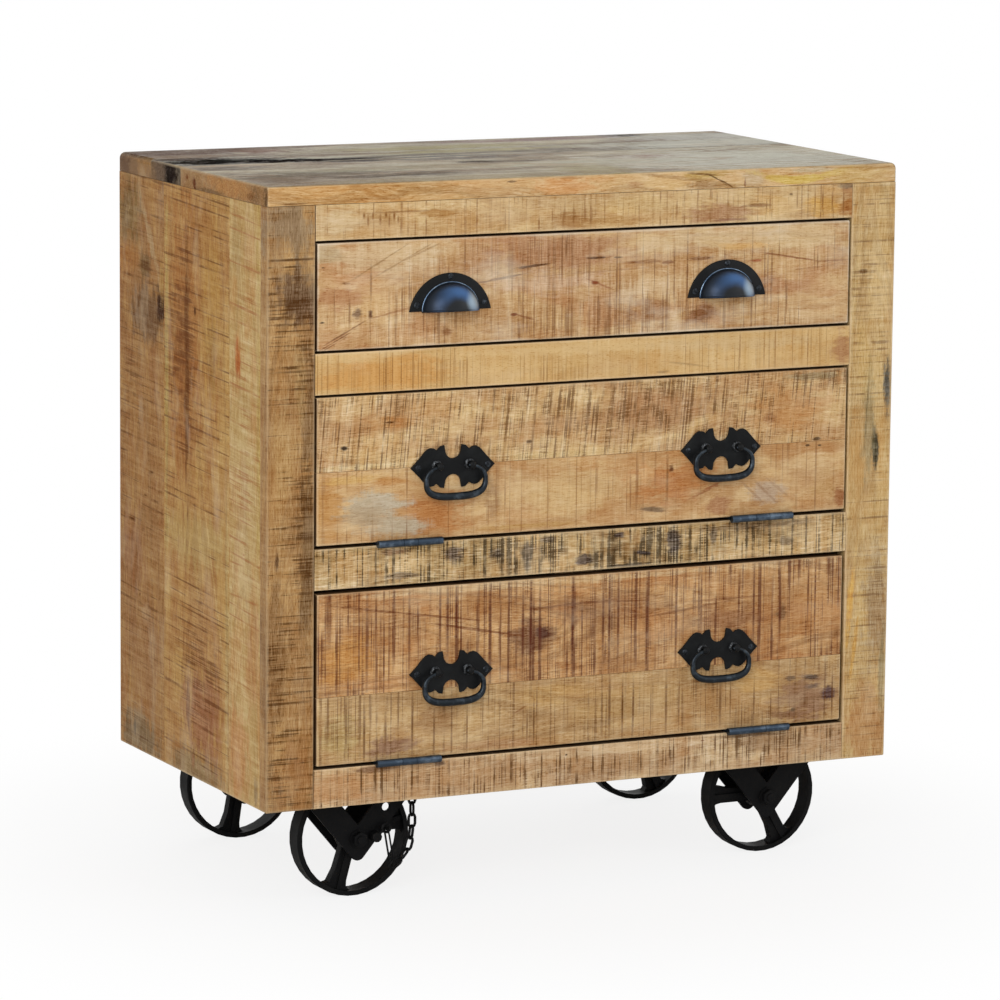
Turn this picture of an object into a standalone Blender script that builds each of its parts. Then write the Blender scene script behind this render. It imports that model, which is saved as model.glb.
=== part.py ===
"""Rolling chest with one drawer and two fall-front flaps, on four cast wheels.

Metres, +Z up. X runs left to right across the front, Y from the front to the back.
The origin is on the floor, under the middle of the chest's bounding box.
"""
import math

import bmesh
import bpy
from mathutils import Matrix, Vector

# Whole chest
WIDTH = 0.800
DEPTH = 0.438
SEAT = 0.0003
OVERRUN = 0.010

# Heights of the front's rails and openings, from the bottom up
BOTTOM_RAIL = 0.045
LOWER_OPENING = 0.205
LOWER_RAIL = 0.047
UPPER_OPENING = 0.174
UPPER_RAIL = 0.047
DRAWER_OPENING = 0.126
TOP_RAIL = 0.0405
SLAB_THICK = 0.022

# Boards of the carcass
STILE_WIDTH = 0.058
FRAME_THICK = 0.020
SIDE_THICK = 0.020
BACK_THICK = 0.012
FLOOR_THICK = 0.018
SHELF_THICK = 0.015
BOARD_EDGE = 0.0012
SLAB_EDGE = 0.003
STOP_WIDTH = 0.060
STOP_DEPTH = 0.018
STOP_DROP = 0.014

# Planks: widths from the back on the slab and sides, and from the hinged edge on the flaps
SEAM_DEPTH = 0.0012
SLAB_REAR_PLANK = 0.100
SLAB_MIDDLE_PLANK = 0.0885
SIDE_REAR_PLANK = 0.138
SIDE_MIDDLE_PLANK = 0.193
UPPER_FLAP_PLANK = 0.083
LOWER_FLAP_PLANK = 0.0785

# Drawer
DRAWER_GAP = 0.0025
DRAWER_FRONT_THICK = 0.020
DRAWER_BACK_GAP = 0.0357
DRAWER_SIDE_THICK = 0.012
DRAWER_SIDE_DROP = 0.0257
DRAWER_BACK_THICK = 0.012
DRAWER_BOTTOM_THICK = 0.006
GROOVE_DEPTH = 0.005
GROOVE_RISE = 0.008
GUIDE_HEIGHT = 0.020

# Flaps
FLAP_THICK = 0.020
UPPER_FLAP_GAP = 0.0025
LOWER_FLAP_SIDE_GAP = 0.0035
LOWER_FLAP_TOP_GAP = 0.0045
FLAP_EDGE = 0.0022

# Hinges: the fixed leaf has two outer knuckles and the pin, the moving leaf the middle knuckle.
# Hinges, plates and pulls are set in from the sides of the front's opening
HINGE_INSET = 0.116
HINGE_LENGTH = 0.080
HINGE_MIDDLE_KNUCKLE = 0.018
HINGE_BARREL_RADIUS = 0.0044
HINGE_PIN_RADIUS = 0.0020
HINGE_LEAF_THICK = 0.00115
HINGE_LEAF_DEPTH = 0.018
HINGE_LEAF_SPLIT = 0.0005
HINGE_PLAY = 0.0004

# Cup pulls: a quarter dome on a flange cut from a disc
PULL_INSET = 0.1655
PULL_REACH = 0.024
FLANGE_RADIUS = 0.0515
FLANGE_CUT = 0.009
FLANGE_THICK = 0.0016
DOME_HALF_WIDTH = 0.0358
DOME_HEIGHT = 0.031
DOME_WALL = 0.0016

# Escutcheon plates and their bails
PLATE_INSET = 0.170
PLATE_HEIGHT_SHARE = 0.49
PLATE_HALF_WIDTH = 0.0525
PLATE_HALF_HEIGHT = 0.0245
PLATE_THICK = 0.0022
NOTCH_HALF_WIDTH = 0.0100
NOTCH_DEPTH = 0.0155
EYE_SPREAD = 0.041
EYE_RISE = 0.0015
EYE_RADIUS = 0.0045
EYE_HEIGHT = 0.0125
EYE_STANDOFF = 0.0080
EYE_PLAY = 0.0004
BAIL_HALF_WIDTH = 0.0370
BAIL_DROP = 0.0365
BAIL_SHOULDER = 0.0150
BAIL_GRIP_RADIUS = 0.0045
BAIL_END_RADIUS = 0.0023

# Wheels: rim, hub and three ribbed spokes, cast in one piece
WHEEL_RADIUS = 0.070
WHEEL_WIDTH = 0.0245
RIM_THICK = 0.0060
RIM_EDGE = 0.0012
RIM_SINK_SHARE = 0.12
WEB_THICK = 0.012
HUB_RADIUS = 0.0140
HUB_LENGTH = 0.040
SPOKE_WIDTH = 0.0160
SPOKE_FILLET = 0.012
RIB_WIDTH = 0.0060
RIB_DEPTH = 0.018
WHEEL_STEPS = 36
WHEEL_CLEARANCE = 0.0033

# Wheel places: how far each axle is from the side, and each wheel's near face from the front or back
LEFT_AXLE_INSET = 0.135
RIGHT_AXLE_INSET = 0.125
FRONT_LEFT_SETBACK = 0.060
FRONT_RIGHT_SETBACK = 0.072
REAR_SETBACK = 0.027

# Wheel brackets: two V straps under a screwed plate
STRAP_WIDTH = 0.030
STRAP_THICK = 0.004
STRAP_ANGLE = math.radians(40)
STRAP_MEET = 0.0075
STRAP_TIP_RADIUS = 0.009
BRACKET_PLATE_THICK = 0.004
BRACKET_PLATE_LENGTH = 0.184
BRACKET_PLATE_MARGIN = 0.001
HUB_PLAY = 0.0010
BRACKET_SCREW_RADIUS = 0.0025
BRACKET_SCREW_INSET = 0.014

# Axle bolts
AXLE_RADIUS = 0.0050
AXLE_PLAY = 0.0003
WASHER_RADIUS = 0.0110
WASHER_THICK = 0.0016
NUT_ACROSS_FLATS = 0.016
NUT_THICK = 0.0070
BOLT_END = 0.0020

# Wheel lock on the front left bracket: pin, wire loop, chain and staple
PIN_OFFSET_X = 0.0185
PIN_OFFSET_Z = 0.0025
PIN_RADIUS = 0.0040
PIN_PLAY = 0.0003
PIN_NOSE = 0.0040
PIN_HEAD_RADIUS = 0.0060
PIN_HEAD_LENGTH = 0.014
PIN_HEAD_EDGE = 0.0010
PIN_EYE_OFFSET_X = 0.0130
PIN_EYE_OFFSET_Z = 0.0090
PIN_EYE_RADIUS = 0.0050
PIN_EYE_WIRE = 0.0020
STRAP_HOLE_RADIUS = 0.0050
STRAP_HOLE_ALONG = 0.0545
CHAIN_INSET = 0.199
CHAIN_SETBACK = 0.039
LINK_INNER_LENGTH = 0.0130
LINK_INNER_WIDTH = 0.0055
LINK_WIRE_RADIUS = 0.00125
LINK_BITE_SHARE = 0.5
LINK_TURNS = [math.radians(angle) for angle in (0, 0, 0, 8, 16, 40, 55)]
LOOP_WIRE_RADIUS = 0.0008
LOOP_HALF_WIDTH = 0.0060
STAPLE_DROP = 0.0280
STAPLE_SPAN = 0.0195
STAPLE_WIRE_RADIUS = 0.00125
STAPLE_PLATE_WIDTH = 0.014
STAPLE_PLATE_LENGTH = 0.025
STAPLE_PLATE_THICK = 0.003

# Levels and planes worked out from the sizes above
front_y = (PULL_REACH - DEPTH) / 2
back_y = front_y + DEPTH
frame_back_y = front_y + FRAME_THICK
half_width = WIDTH / 2
half_opening = half_width - STILE_WIDTH
axle_z = WHEEL_RADIUS * math.cos(math.pi / WHEEL_STEPS)
bracket_plate_z = axle_z + WHEEL_RADIUS + WHEEL_CLEARANCE
floor_under_z = bracket_plate_z + BRACKET_PLATE_THICK + SEAT
lower_opening_z = floor_under_z + FLOOR_THICK
skirt_z = lower_opening_z - BOTTOM_RAIL
lower_rail_z = lower_opening_z + LOWER_OPENING
upper_opening_z = lower_rail_z + LOWER_RAIL
upper_rail_z = upper_opening_z + UPPER_OPENING
drawer_opening_z = upper_rail_z + UPPER_RAIL
top_rail_z = drawer_opening_z + DRAWER_OPENING
slab_z = top_rail_z + TOP_RAIL


def empty_scene():
    for thing in list(bpy.data.objects):
        bpy.data.objects.remove(thing, do_unlink=True)


def new_collection(name):
    collection = bpy.data.collections.new(name)
    bpy.context.scene.collection.children.link(collection)
    return collection


def new_material(name, colour, roughness, metallic):
    material = bpy.data.materials.new(name)
    material.use_nodes = True
    shader = material.node_tree.nodes["Principled BSDF"]
    shader.inputs["Base Color"].default_value = (*colour, 1.0)
    shader.inputs["Roughness"].default_value = roughness
    shader.inputs["Metallic"].default_value = metallic
    material.diffuse_color = (*colour, 1.0)
    return material


empty_scene()
chest = new_collection("rolling_chest")
tools = new_collection("tools")

FINISHES = {
    "slab_wood": ((0.30, 0.21, 0.13), 0.60, 0.0),
    "frame_wood": ((0.50, 0.33, 0.17), 0.62, 0.0),
    "panel_wood": ((0.45, 0.28, 0.14), 0.62, 0.0),
    "inner_wood": ((0.42, 0.29, 0.17), 0.75, 0.0),
    "black_iron": ((0.012, 0.012, 0.013), 0.50, 0.6),
    "hinge_steel": ((0.045, 0.055, 0.075), 0.38, 0.9),
}


def finished(thing, finish):
    colour, roughness, metallic = FINISHES[finish]
    thing.data.materials.append(new_material(thing.name, colour, roughness, metallic))
    return thing


def carrier(name, place, parent=None):
    """An empty on a joint's axis, which carries one moving body."""
    holder = bpy.data.objects.new(name, None)
    holder.empty_display_size = SIDE_THICK
    chest.objects.link(holder)
    return put(holder, place, parent)


def world_place(thing):
    place = Vector(thing.location)
    while thing.parent:
        thing = thing.parent
        place += thing.location
    return place


def put(thing, place, parent):
    thing.location = Vector(place)
    if parent:
        thing.parent = parent
        thing.location = Vector(place) - world_place(parent)
    return thing


def part(name, mesh, place, finish, parent=None):
    """One sub-part of the chest, from a mesh that is modelled round its own origin."""
    if mesh.users:
        mesh = mesh.copy()
    thing = bpy.data.objects.new(name, mesh)
    chest.objects.link(thing)
    return finished(put(thing, place, parent), finish)


# Modelling tools

def tool(mesh, place=(0, 0, 0), turn=(0, 0, 0)):
    """A working object, which goes into a finished mesh and is then removed."""
    thing = bpy.data.objects.new("tool", mesh)
    thing.location = place
    thing.rotation_euler = turn
    thing.display_type = "WIRE"
    thing.hide_render = True
    tools.objects.link(thing)
    return thing


def discard(thing):
    data = thing.data
    bpy.data.objects.remove(thing, do_unlink=True)
    if isinstance(data, bpy.types.Curve):
        bpy.data.curves.remove(data)


def baked(thing):
    """The working object's evaluated shape as one closed mesh, with the object removed."""
    bpy.context.view_layer.update()
    evaluated = thing.evaluated_get(bpy.context.evaluated_depsgraph_get())
    mesh = bpy.data.meshes.new_from_object(evaluated)
    mesh.transform(thing.matrix_world)
    discard(thing)
    shape = bmesh.new()
    shape.from_mesh(mesh)
    bmesh.ops.remove_doubles(shape, verts=shape.verts, dist=SEAT / 100)
    bmesh.ops.recalc_face_normals(shape, faces=shape.faces)
    shape.to_mesh(mesh)
    shape.free()
    return mesh


def combined(base, joined=(), removed=()):
    """The base with other working objects joined to it and then cut from it."""
    for operation, others in (("UNION", joined), ("DIFFERENCE", removed)):
        for other in others:
            step = base.modifiers.new(operation.lower(), "BOOLEAN")
            step.operation = operation
            step.object = other
    mesh = baked(base)
    for other in (*joined, *removed):
        discard(other)
    return mesh


def smoothed(mesh):
    mesh.shade_smooth()
    mesh.set_sharp_from_angle(angle=math.radians(35))
    return mesh


def block(size):
    shape = bmesh.new()
    bmesh.ops.create_cube(shape, size=1.0)
    bmesh.ops.scale(shape, vec=size, verts=shape.verts)
    mesh = bpy.data.meshes.new("block")
    shape.to_mesh(mesh)
    shape.free()
    return mesh


def block_tool(low, high):
    low, high = Vector(low), Vector(high)
    return tool(block(high - low), (low + high) / 2)


def rod(radius, length, sides):
    """A cylinder round its own Z axis."""
    shape = bmesh.new()
    bmesh.ops.create_cone(
        shape, cap_ends=True, segments=sides, radius1=radius, radius2=radius, depth=length)
    mesh = bpy.data.meshes.new("rod")
    shape.to_mesh(mesh)
    shape.free()
    return mesh


ALONG_X = (0, math.pi / 2, 0)
ALONG_Y = (math.pi / 2, 0, 0)


def rod_tool(radius, length, sides, centre, turn):
    return tool(rod(radius, length, sides), centre, turn)


def ball(half_sizes, across, down):
    shape = bmesh.new()
    bmesh.ops.create_uvsphere(shape, u_segments=across, v_segments=down, radius=1.0)
    bmesh.ops.scale(shape, vec=half_sizes, verts=shape.verts)
    mesh = bpy.data.meshes.new("ball")
    shape.to_mesh(mesh)
    shape.free()
    return mesh


def turned(profile, steps, closed, turn=(0, 0, 0), spin=0.0):
    """A profile of (radius, height) points turned about Z, then tipped over."""
    count = len(profile)
    edges = [(i, i + 1) for i in range(count - 1)]
    if closed:
        edges.append((count - 1, 0))
    mesh = bpy.data.meshes.new("profile")
    mesh.from_pydata([(radius, 0, height) for radius, height in profile], edges, [])
    thing = tool(mesh)
    screw = thing.modifiers.new("turn", "SCREW")
    screw.steps = steps
    screw.render_steps = steps
    screw.use_merge_vertices = True
    screw.merge_threshold = SEAT / 100
    mesh = baked(thing)
    mesh.transform(Matrix.Rotation(spin, 4, "Z"))
    return tool(mesh, turn=turn)


def outline_curve(outlines, thick):
    """Flat outlines in the curve's own XY plane, filled and given a thickness."""
    curve = bpy.data.curves.new("outline", "CURVE")
    curve.dimensions = "2D"
    curve.fill_mode = "BOTH"
    curve.extrude = thick / 2
    for outline in outlines:
        spline = curve.splines.new("POLY")
        spline.points.add(len(outline) - 1)
        for point, (x, y) in zip(spline.points, outline):
            point.co = (x, y, 0, 1)
        spline.use_cyclic_u = True
    return curve


def plate_tool(outlines, thick, centre=(0, 0, 0), turn=ALONG_Y):
    """A flat plate as a mesh; by default it stands up, with outline Y as world Z."""
    return tool(baked(tool(outline_curve(outlines, thick), centre, turn)))


def wire_mesh(points, radius, resolution, closed, shares=None):
    """A round bar along points, with its radius scaled at each point by a share."""
    curve = bpy.data.curves.new("wire", "CURVE")
    curve.dimensions = "3D"
    curve.bevel_depth = radius
    curve.bevel_resolution = resolution
    curve.use_fill_caps = not closed
    spline = curve.splines.new("POLY")
    spline.points.add(len(points) - 1)
    for index, (point, place) in enumerate(zip(spline.points, points)):
        point.co = (*place, 1)
        if shares:
            point.radius = shares[index]
    spline.use_cyclic_u = closed
    return baked(tool(curve))


def arc(centre, radius, start, end, count):
    """Points along an arc, with both ends."""
    angles = [start + (end - start) * i / count for i in range(count + 1)]
    return [(centre[0] + radius * math.cos(a), centre[1] + radius * math.sin(a)) for a in angles]


def mirrored(half):
    """A closed outline from its right half, given from the bottom middle up to the top middle."""
    left = [(-x, y) for x, y in reversed(half) if x > SEAT]
    return half + left


# Boards

def board(name, low, high, finish, parent=None, edge=BOARD_EDGE):
    low, high = Vector(low), Vector(high)
    thing = part(name, block(high - low), (low + high) / 2, finish, parent)
    if edge:
        rounding = thing.modifiers.new("arris", "BEVEL")
        rounding.width = edge
        rounding.segments = 1
    return thing


def inner_board(name, low, high, parent=None):
    """A board out of sight, left with square edges."""
    return board(name, low, high, "inner_wood", parent, 0)


def cut(thing, cutter):
    """A cut that stays on the piece as a modifier."""
    cutter.name = "cut_" + thing.name
    step = thing.modifiers.new("cut", "BOOLEAN")
    step.object = cutter


def seam(thing, place, length, axis):
    """A V groove between two planks, cut by a square bar on edge along world axis 0, 1 or 2."""
    size = [SEAM_DEPTH * math.sqrt(2)] * 3
    size[axis] = length + OVERRUN
    turn = [0, 0, 0]
    turn[axis] = math.pi / 4
    cut(thing, tool(block(size), place, turn))


def carcass():
    top_z = slab_z - SEAT
    top = slab_z + SLAB_THICK
    slab = board("top_slab", (-half_width, front_y, slab_z), (half_width, back_y, top),
                 "slab_wood", edge=SLAB_EDGE)
    for y in (back_y - SLAB_REAR_PLANK, back_y - SLAB_REAR_PLANK - SLAB_MIDDLE_PLANK):
        seam(slab, (0, y, top), WIDTH, 0)
    for side, name in ((-1, "left"), (1, "right")):
        outer, inner = side * half_width, side * half_opening
        board("stile_" + name, (min(outer, inner), front_y, skirt_z),
              (max(outer, inner), frame_back_y, top_z), "frame_wood")
        inner = side * (half_width - SIDE_THICK)
        panel = board("side_panel_" + name, (min(outer, inner), frame_back_y + SEAT, skirt_z),
                      (max(outer, inner), back_y, top_z), "panel_wood")
        for y in (back_y - SIDE_REAR_PLANK, back_y - SIDE_REAR_PLANK - SIDE_MIDDLE_PLANK):
            seam(panel, (outer, y, (skirt_z + top_z) / 2), top_z - skirt_z, 2)
    rails = {
        "bottom_rail": (skirt_z, lower_opening_z),
        "lower_rail": (lower_rail_z, upper_opening_z),
        "upper_rail": (upper_rail_z, drawer_opening_z),
        "top_rail": (top_rail_z, top_z),
    }
    reach = half_opening - SEAT
    for name, (low_z, high_z) in rails.items():
        board(name, (-reach, front_y, low_z), (reach, frame_back_y, high_z), "frame_wood")
    reach = half_width - SIDE_THICK - SEAT
    inner_board("back_panel", (-reach, back_y - BACK_THICK, skirt_z), (reach, back_y, top_z))
    shelf_back_y = back_y - BACK_THICK - SEAT
    shelves = {
        "floor_board": (lower_opening_z, FLOOR_THICK),
        "lower_shelf": (upper_opening_z, SHELF_THICK),
        "upper_shelf": (drawer_opening_z, SHELF_THICK),
    }
    for name, (shelf_z, thick) in shelves.items():
        inner_board(name, (-reach, frame_back_y + SEAT, shelf_z - thick), (reach, shelf_back_y, shelf_z))
    for side, name in ((-1, "left"), (1, "right")):
        outer, inner = side * reach, side * half_opening
        low = (min(outer, inner), frame_back_y + SEAT, drawer_opening_z + SEAT)
        inner_board("drawer_guide_" + name, low, (max(outer, inner), shelf_back_y, low[2] + GUIDE_HEIGHT))


def flap_stop(name, under_z, low_z):
    """A block behind the top edge of a flap, screwed under the shelf above it."""
    front = front_y + FLAP_THICK + SEAT
    inner_board(name, (-STOP_WIDTH / 2, front, low_z),
                (STOP_WIDTH / 2, front + STOP_DEPTH, under_z - SEAT))


def drawer():
    slide = carrier("drawer_slide", (0, front_y, drawer_opening_z))
    half = half_opening - DRAWER_GAP
    back_of_front = front_y + DRAWER_FRONT_THICK
    foot_z = drawer_opening_z + SEAT
    front = board("drawer_front", (-half, front_y, drawer_opening_z + DRAWER_GAP),
                  (half, back_of_front, top_rail_z - DRAWER_GAP), "panel_wood", slide, FLAP_EDGE)
    side_y = back_of_front + SEAT
    rear_y = back_y - BACK_THICK - DRAWER_BACK_GAP
    side_top_z = top_rail_z - DRAWER_SIDE_DROP
    groove_z = foot_z + GROOVE_RISE
    inner = half - DRAWER_SIDE_THICK
    grooved = [front]
    for side, name in ((-1, "left"), (1, "right")):
        near, far = sorted((side * inner, side * half))
        panel = board("drawer_side_" + name, (near, side_y, foot_z),
                      (far, rear_y, side_top_z), "inner_wood", slide, 0)
        grooved.append(panel)
    reach = inner + GROOVE_DEPTH
    groove_low = Vector((-reach, back_of_front - GROOVE_DEPTH, groove_z))
    groove_high = Vector((reach, rear_y, groove_z + DRAWER_BOTTOM_THICK))
    seat = Vector((SEAT, SEAT, SEAT))
    inner_board("drawer_bottom", groove_low + seat, groove_high - seat, slide)
    for panel in grooved:
        cut(panel, block_tool(groove_low, groove_high + Vector((0, OVERRUN, 0))))
    inner_board("drawer_back", (-inner + SEAT, rear_y - DRAWER_BACK_THICK, groove_high.z + SEAT),
                (inner - SEAT, rear_y, side_top_z), slide)
    middle_z = (drawer_opening_z + top_rail_z) / 2
    pull = cup_pull()
    for side, name in ((-1, "left"), (1, "right")):
        place = (side * (half_opening - PULL_INSET), front_y, middle_z - (FLANGE_RADIUS - FLANGE_CUT) / 2)
        part("cup_pull_" + name, pull, place, "black_iron", slide)


# Cup pull, round the middle of its lower edge on the drawer's face

def cup_pull():
    dome = tool(ball((DOME_HALF_WIDTH, PULL_REACH - SEAT, DOME_HEIGHT), 24, 12), (0, -SEAT, 0))
    hollow = tool(ball((DOME_HALF_WIDTH - DOME_WALL, PULL_REACH - SEAT - DOME_WALL,
                        DOME_HEIGHT - DOME_WALL), 24, 12), (0, -SEAT, 0))
    flange = rod_tool(FLANGE_RADIUS, FLANGE_THICK + OVERRUN, 48,
                      (0, -SEAT - FLANGE_THICK + (FLANGE_THICK + OVERRUN) / 2, -FLANGE_CUT), ALONG_Y)
    reach = FLANGE_RADIUS + OVERRUN
    behind = block_tool((-reach, -SEAT, -reach), (reach, reach, reach))
    below = block_tool((-reach, -reach, -reach - FLANGE_CUT), (reach, reach, 0))
    return smoothed(combined(dome, [flange], [hollow, behind, below]))


# Escutcheon plate, round the middle of its back on the flap's face

def plate_quarter():
    """A quarter of the outline, from the notch's middle to the side tip, as (x, height) points."""
    width_shares = [0.21, 0.30, 0.39, 0.45, 0.54, 0.61, 0.68, 0.81, 0.92, 1.0]
    height_shares = [1.0, 0.96, 0.77, 0.87, 0.90, 0.84, 0.71, 0.40, 0.16, 0.0]
    notch_z = PLATE_HALF_HEIGHT - NOTCH_DEPTH + NOTCH_HALF_WIDTH
    notch = arc((0, notch_z), NOTCH_HALF_WIDTH, -math.pi / 2, 0, 5)
    edge = [(w * PLATE_HALF_WIDTH, h * PLATE_HALF_HEIGHT) for w, h in zip(width_shares, height_shares)]
    return notch + edge


def escutcheon():
    upper = plate_quarter()
    lower = [(x, -z) for x, z in upper]
    outline = mirrored(lower[:-1] + list(reversed(upper)))
    plate = plate_tool([outline], PLATE_THICK, (0, -SEAT - PLATE_THICK / 2, 0))
    foot = SEAT + PLATE_THICK / 2
    tip = SEAT + PLATE_THICK + EYE_HEIGHT
    dome_share = 0.6
    post = [(0, tip), (EYE_RADIUS * dome_share, tip - EYE_RADIUS * (1 - dome_share) / 2),
            (EYE_RADIUS, tip - EYE_RADIUS * dome_share), (EYE_RADIUS, foot), (0, foot)]
    posts = []
    holes = []
    for side in (-1, 1):
        knob = turned(post, 10, False, ALONG_Y)
        knob.location = (side * EYE_SPREAD / 2, 0, EYE_RISE)
        posts.append(knob)
        centre = (side * EYE_SPREAD / 2, -eye_axis_reach(), EYE_RISE)
        holes.append(rod_tool(BAIL_END_RADIUS + EYE_PLAY, EYE_RADIUS * 2 + OVERRUN, 8, centre, ALONG_X))
    return smoothed(combined(plate, posts, holes))


def eye_axis_reach():
    """How far the bail's axis stands in front of the flap's face."""
    return SEAT + PLATE_THICK + EYE_STANDOFF


# Bail, round the middle of its axis

def bail():
    """A bar that is thick in the grip and thins to the two ends in the eyes."""
    shoulder = BAIL_HALF_WIDTH - EYE_SPREAD / 2 - EYE_RADIUS
    drop = BAIL_DROP - BAIL_SHOULDER
    squareness = 2 / 2.6
    steps = 5
    half = []
    for i in range(steps):
        t = math.pi / 2 * i / steps
        half.append((BAIL_HALF_WIDTH * math.sin(t) ** squareness,
                     -BAIL_SHOULDER - drop * math.cos(t) ** squareness))
    top_x = BAIL_HALF_WIDTH - shoulder
    for i in range(4):
        t = math.pi / 2 * i / 3
        half.append((top_x + shoulder * math.cos(t), -BAIL_SHOULDER * (1 - math.sin(t))))
    half.append((EYE_SPREAD / 2 - EYE_RADIUS, 0))
    end_share = BAIL_END_RADIUS / BAIL_GRIP_RADIUS
    last = len(half) - 2
    turns = [math.pi / 2 * min(i, last) / last for i in range(last + 2)]
    shares = [end_share + (1 - end_share) * math.cos(t) for t in turns]
    left = [(-x, z) for x, z in reversed(half[1:])]
    points = [(x, 0, z) for x, z in left + half]
    return smoothed(wire_mesh(points, BAIL_GRIP_RADIUS, 2, False, list(reversed(shares[1:])) + shares))


# Hinge leaves, round the middle of the barrel's axis

def leaf_blocks(tongues, leaf_z):
    """A leaf's plate behind the barrel, with its tongues reaching into their knuckles."""
    clear = HINGE_BARREL_RADIUS + HINGE_PLAY
    rear = barrel_standoff() + HINGE_LEAF_DEPTH
    low, high = leaf_z - HINGE_LEAF_THICK / 2, leaf_z + HINGE_LEAF_THICK / 2
    plate = block_tool((-HINGE_LENGTH / 2, clear, low), (HINGE_LENGTH / 2, rear, high))
    front = HINGE_BARREL_RADIUS / 2
    behind = clear + HINGE_PLAY
    return plate, [block_tool((left, front, low), (right, behind, high)) for left, right in tongues]


def barrel_standoff():
    """How far the barrel's axis stands in front of the flap's face."""
    return HINGE_BARREL_RADIUS + HINGE_PLAY


def fixed_leaf():
    half_middle = HINGE_MIDDLE_KNUCKLE / 2
    half_length = HINGE_LENGTH / 2
    leaf_z = -(HINGE_LEAF_SPLIT + HINGE_LEAF_THICK) / 2
    plate, tongues = leaf_blocks([(-half_length, -half_middle), (half_middle, half_length)], leaf_z)
    length = half_length - half_middle
    knuckles = [
        rod_tool(HINGE_BARREL_RADIUS, length, 12, (side * (half_middle + length / 2), 0, 0), ALONG_X)
        for side in (-1, 1)]
    pin = rod_tool(HINGE_PIN_RADIUS, HINGE_MIDDLE_KNUCKLE + length, 8, (0, 0, 0), ALONG_X)
    return smoothed(combined(plate, [*tongues, *knuckles, pin]))


def moving_leaf():
    half_middle = HINGE_MIDDLE_KNUCKLE / 2 - HINGE_PLAY
    leaf_z = (HINGE_LEAF_SPLIT + HINGE_LEAF_THICK) / 2
    plate, tongues = leaf_blocks([(-half_middle, half_middle)], leaf_z)
    knuckle = rod_tool(HINGE_BARREL_RADIUS, half_middle * 2, 12, (0, 0, 0), ALONG_X)
    bore = rod_tool(HINGE_PIN_RADIUS + HINGE_PLAY, HINGE_LENGTH, 8, (0, 0, 0), ALONG_X)
    return smoothed(combined(plate, [*tongues, knuckle], [bore]))


def flap(name, opening_z, opening, side_gap, top_gap, plank, meshes):
    """A fall-front flap on two hinges, with two escutcheon plates and their bails."""
    axis_y = front_y - barrel_standoff()
    axis_z = opening_z + SEAT + HINGE_LEAF_THICK + HINGE_LEAF_SPLIT / 2
    hinge = carrier(name + "_hinge", (0, axis_y, axis_z))
    foot_z = axis_z + HINGE_LEAF_SPLIT / 2 + HINGE_LEAF_THICK + SEAT
    half = half_opening - side_gap
    high = (half, front_y + FLAP_THICK, opening_z + opening - top_gap)
    panel = board(name + "_panel", (-half, front_y, foot_z), high, "panel_wood", hinge, FLAP_EDGE)
    seam(panel, (0, front_y, foot_z + plank), half * 2, 0)
    plate_z = opening_z + opening * PLATE_HEIGHT_SHARE
    for side, label in ((-1, "left"), (1, "right")):
        barrel = (side * (half_opening - HINGE_INSET), axis_y, axis_z)
        part(name + "_fixed_leaf_" + label, meshes["fixed_leaf"], barrel, "hinge_steel")
        part(name + "_moving_leaf_" + label, meshes["moving_leaf"], barrel, "hinge_steel", hinge)
        centre = (side * (half_opening - PLATE_INSET), front_y, plate_z)
        part(name + "_plate_" + label, meshes["escutcheon"], centre, "black_iron", hinge)
        eye = (centre[0], front_y - eye_axis_reach(), plate_z + EYE_RISE)
        swing = carrier(name + "_bail_swing_" + label, eye, hinge)
        part(name + "_bail_" + label, meshes["bail"], eye, "black_iron", swing)


# Wheel, round the middle of its axle, which runs front to back

def window(start, end):
    """The opening between two spokes, with rounded corners where they meet rim and hub."""
    rim = WHEEL_RADIUS - RIM_THICK * (1 - RIM_SINK_SHARE)
    root = HUB_RADIUS + SPOKE_FILLET / 4
    half = SPOKE_WIDTH / 2
    outer = [start + math.asin(half / rim), end - math.asin(half / rim)]
    inner = [start + math.asin(half / root), end - math.asin(half / root)]
    corners = [
        [polar(root, inner[0]), polar(rim, outer[0]), polar(rim, outer[0] + SPOKE_FILLET / rim)],
        [polar(rim, outer[1] - SPOKE_FILLET / rim), polar(rim, outer[1]), polar(root, inner[1])],
    ]
    points = rounded_corner(*corners[0], 3)
    points += arc((0, 0), rim, outer[0] + SPOKE_FILLET / rim, outer[1] - SPOKE_FILLET / rim, 5)[1:-1]
    points += rounded_corner(*corners[1], 3)
    points += arc((0, 0), root, inner[1], inner[0], 2)
    return points


def polar(radius, angle):
    return radius * math.cos(angle), radius * math.sin(angle)


def rounded_corner(before, corner, after, count):
    """A corner eased by a quadratic curve that starts and ends one fillet away from it."""
    corner = Vector(corner)
    start = corner + (Vector(before) - corner).normalized() * SPOKE_FILLET
    end = Vector(after)
    points = []
    for i in range(count + 1):
        t = i / count
        point = start * (1 - t) ** 2 + corner * (2 * t * (1 - t)) + end * t ** 2
        points.append(tuple(point))
    return points


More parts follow.
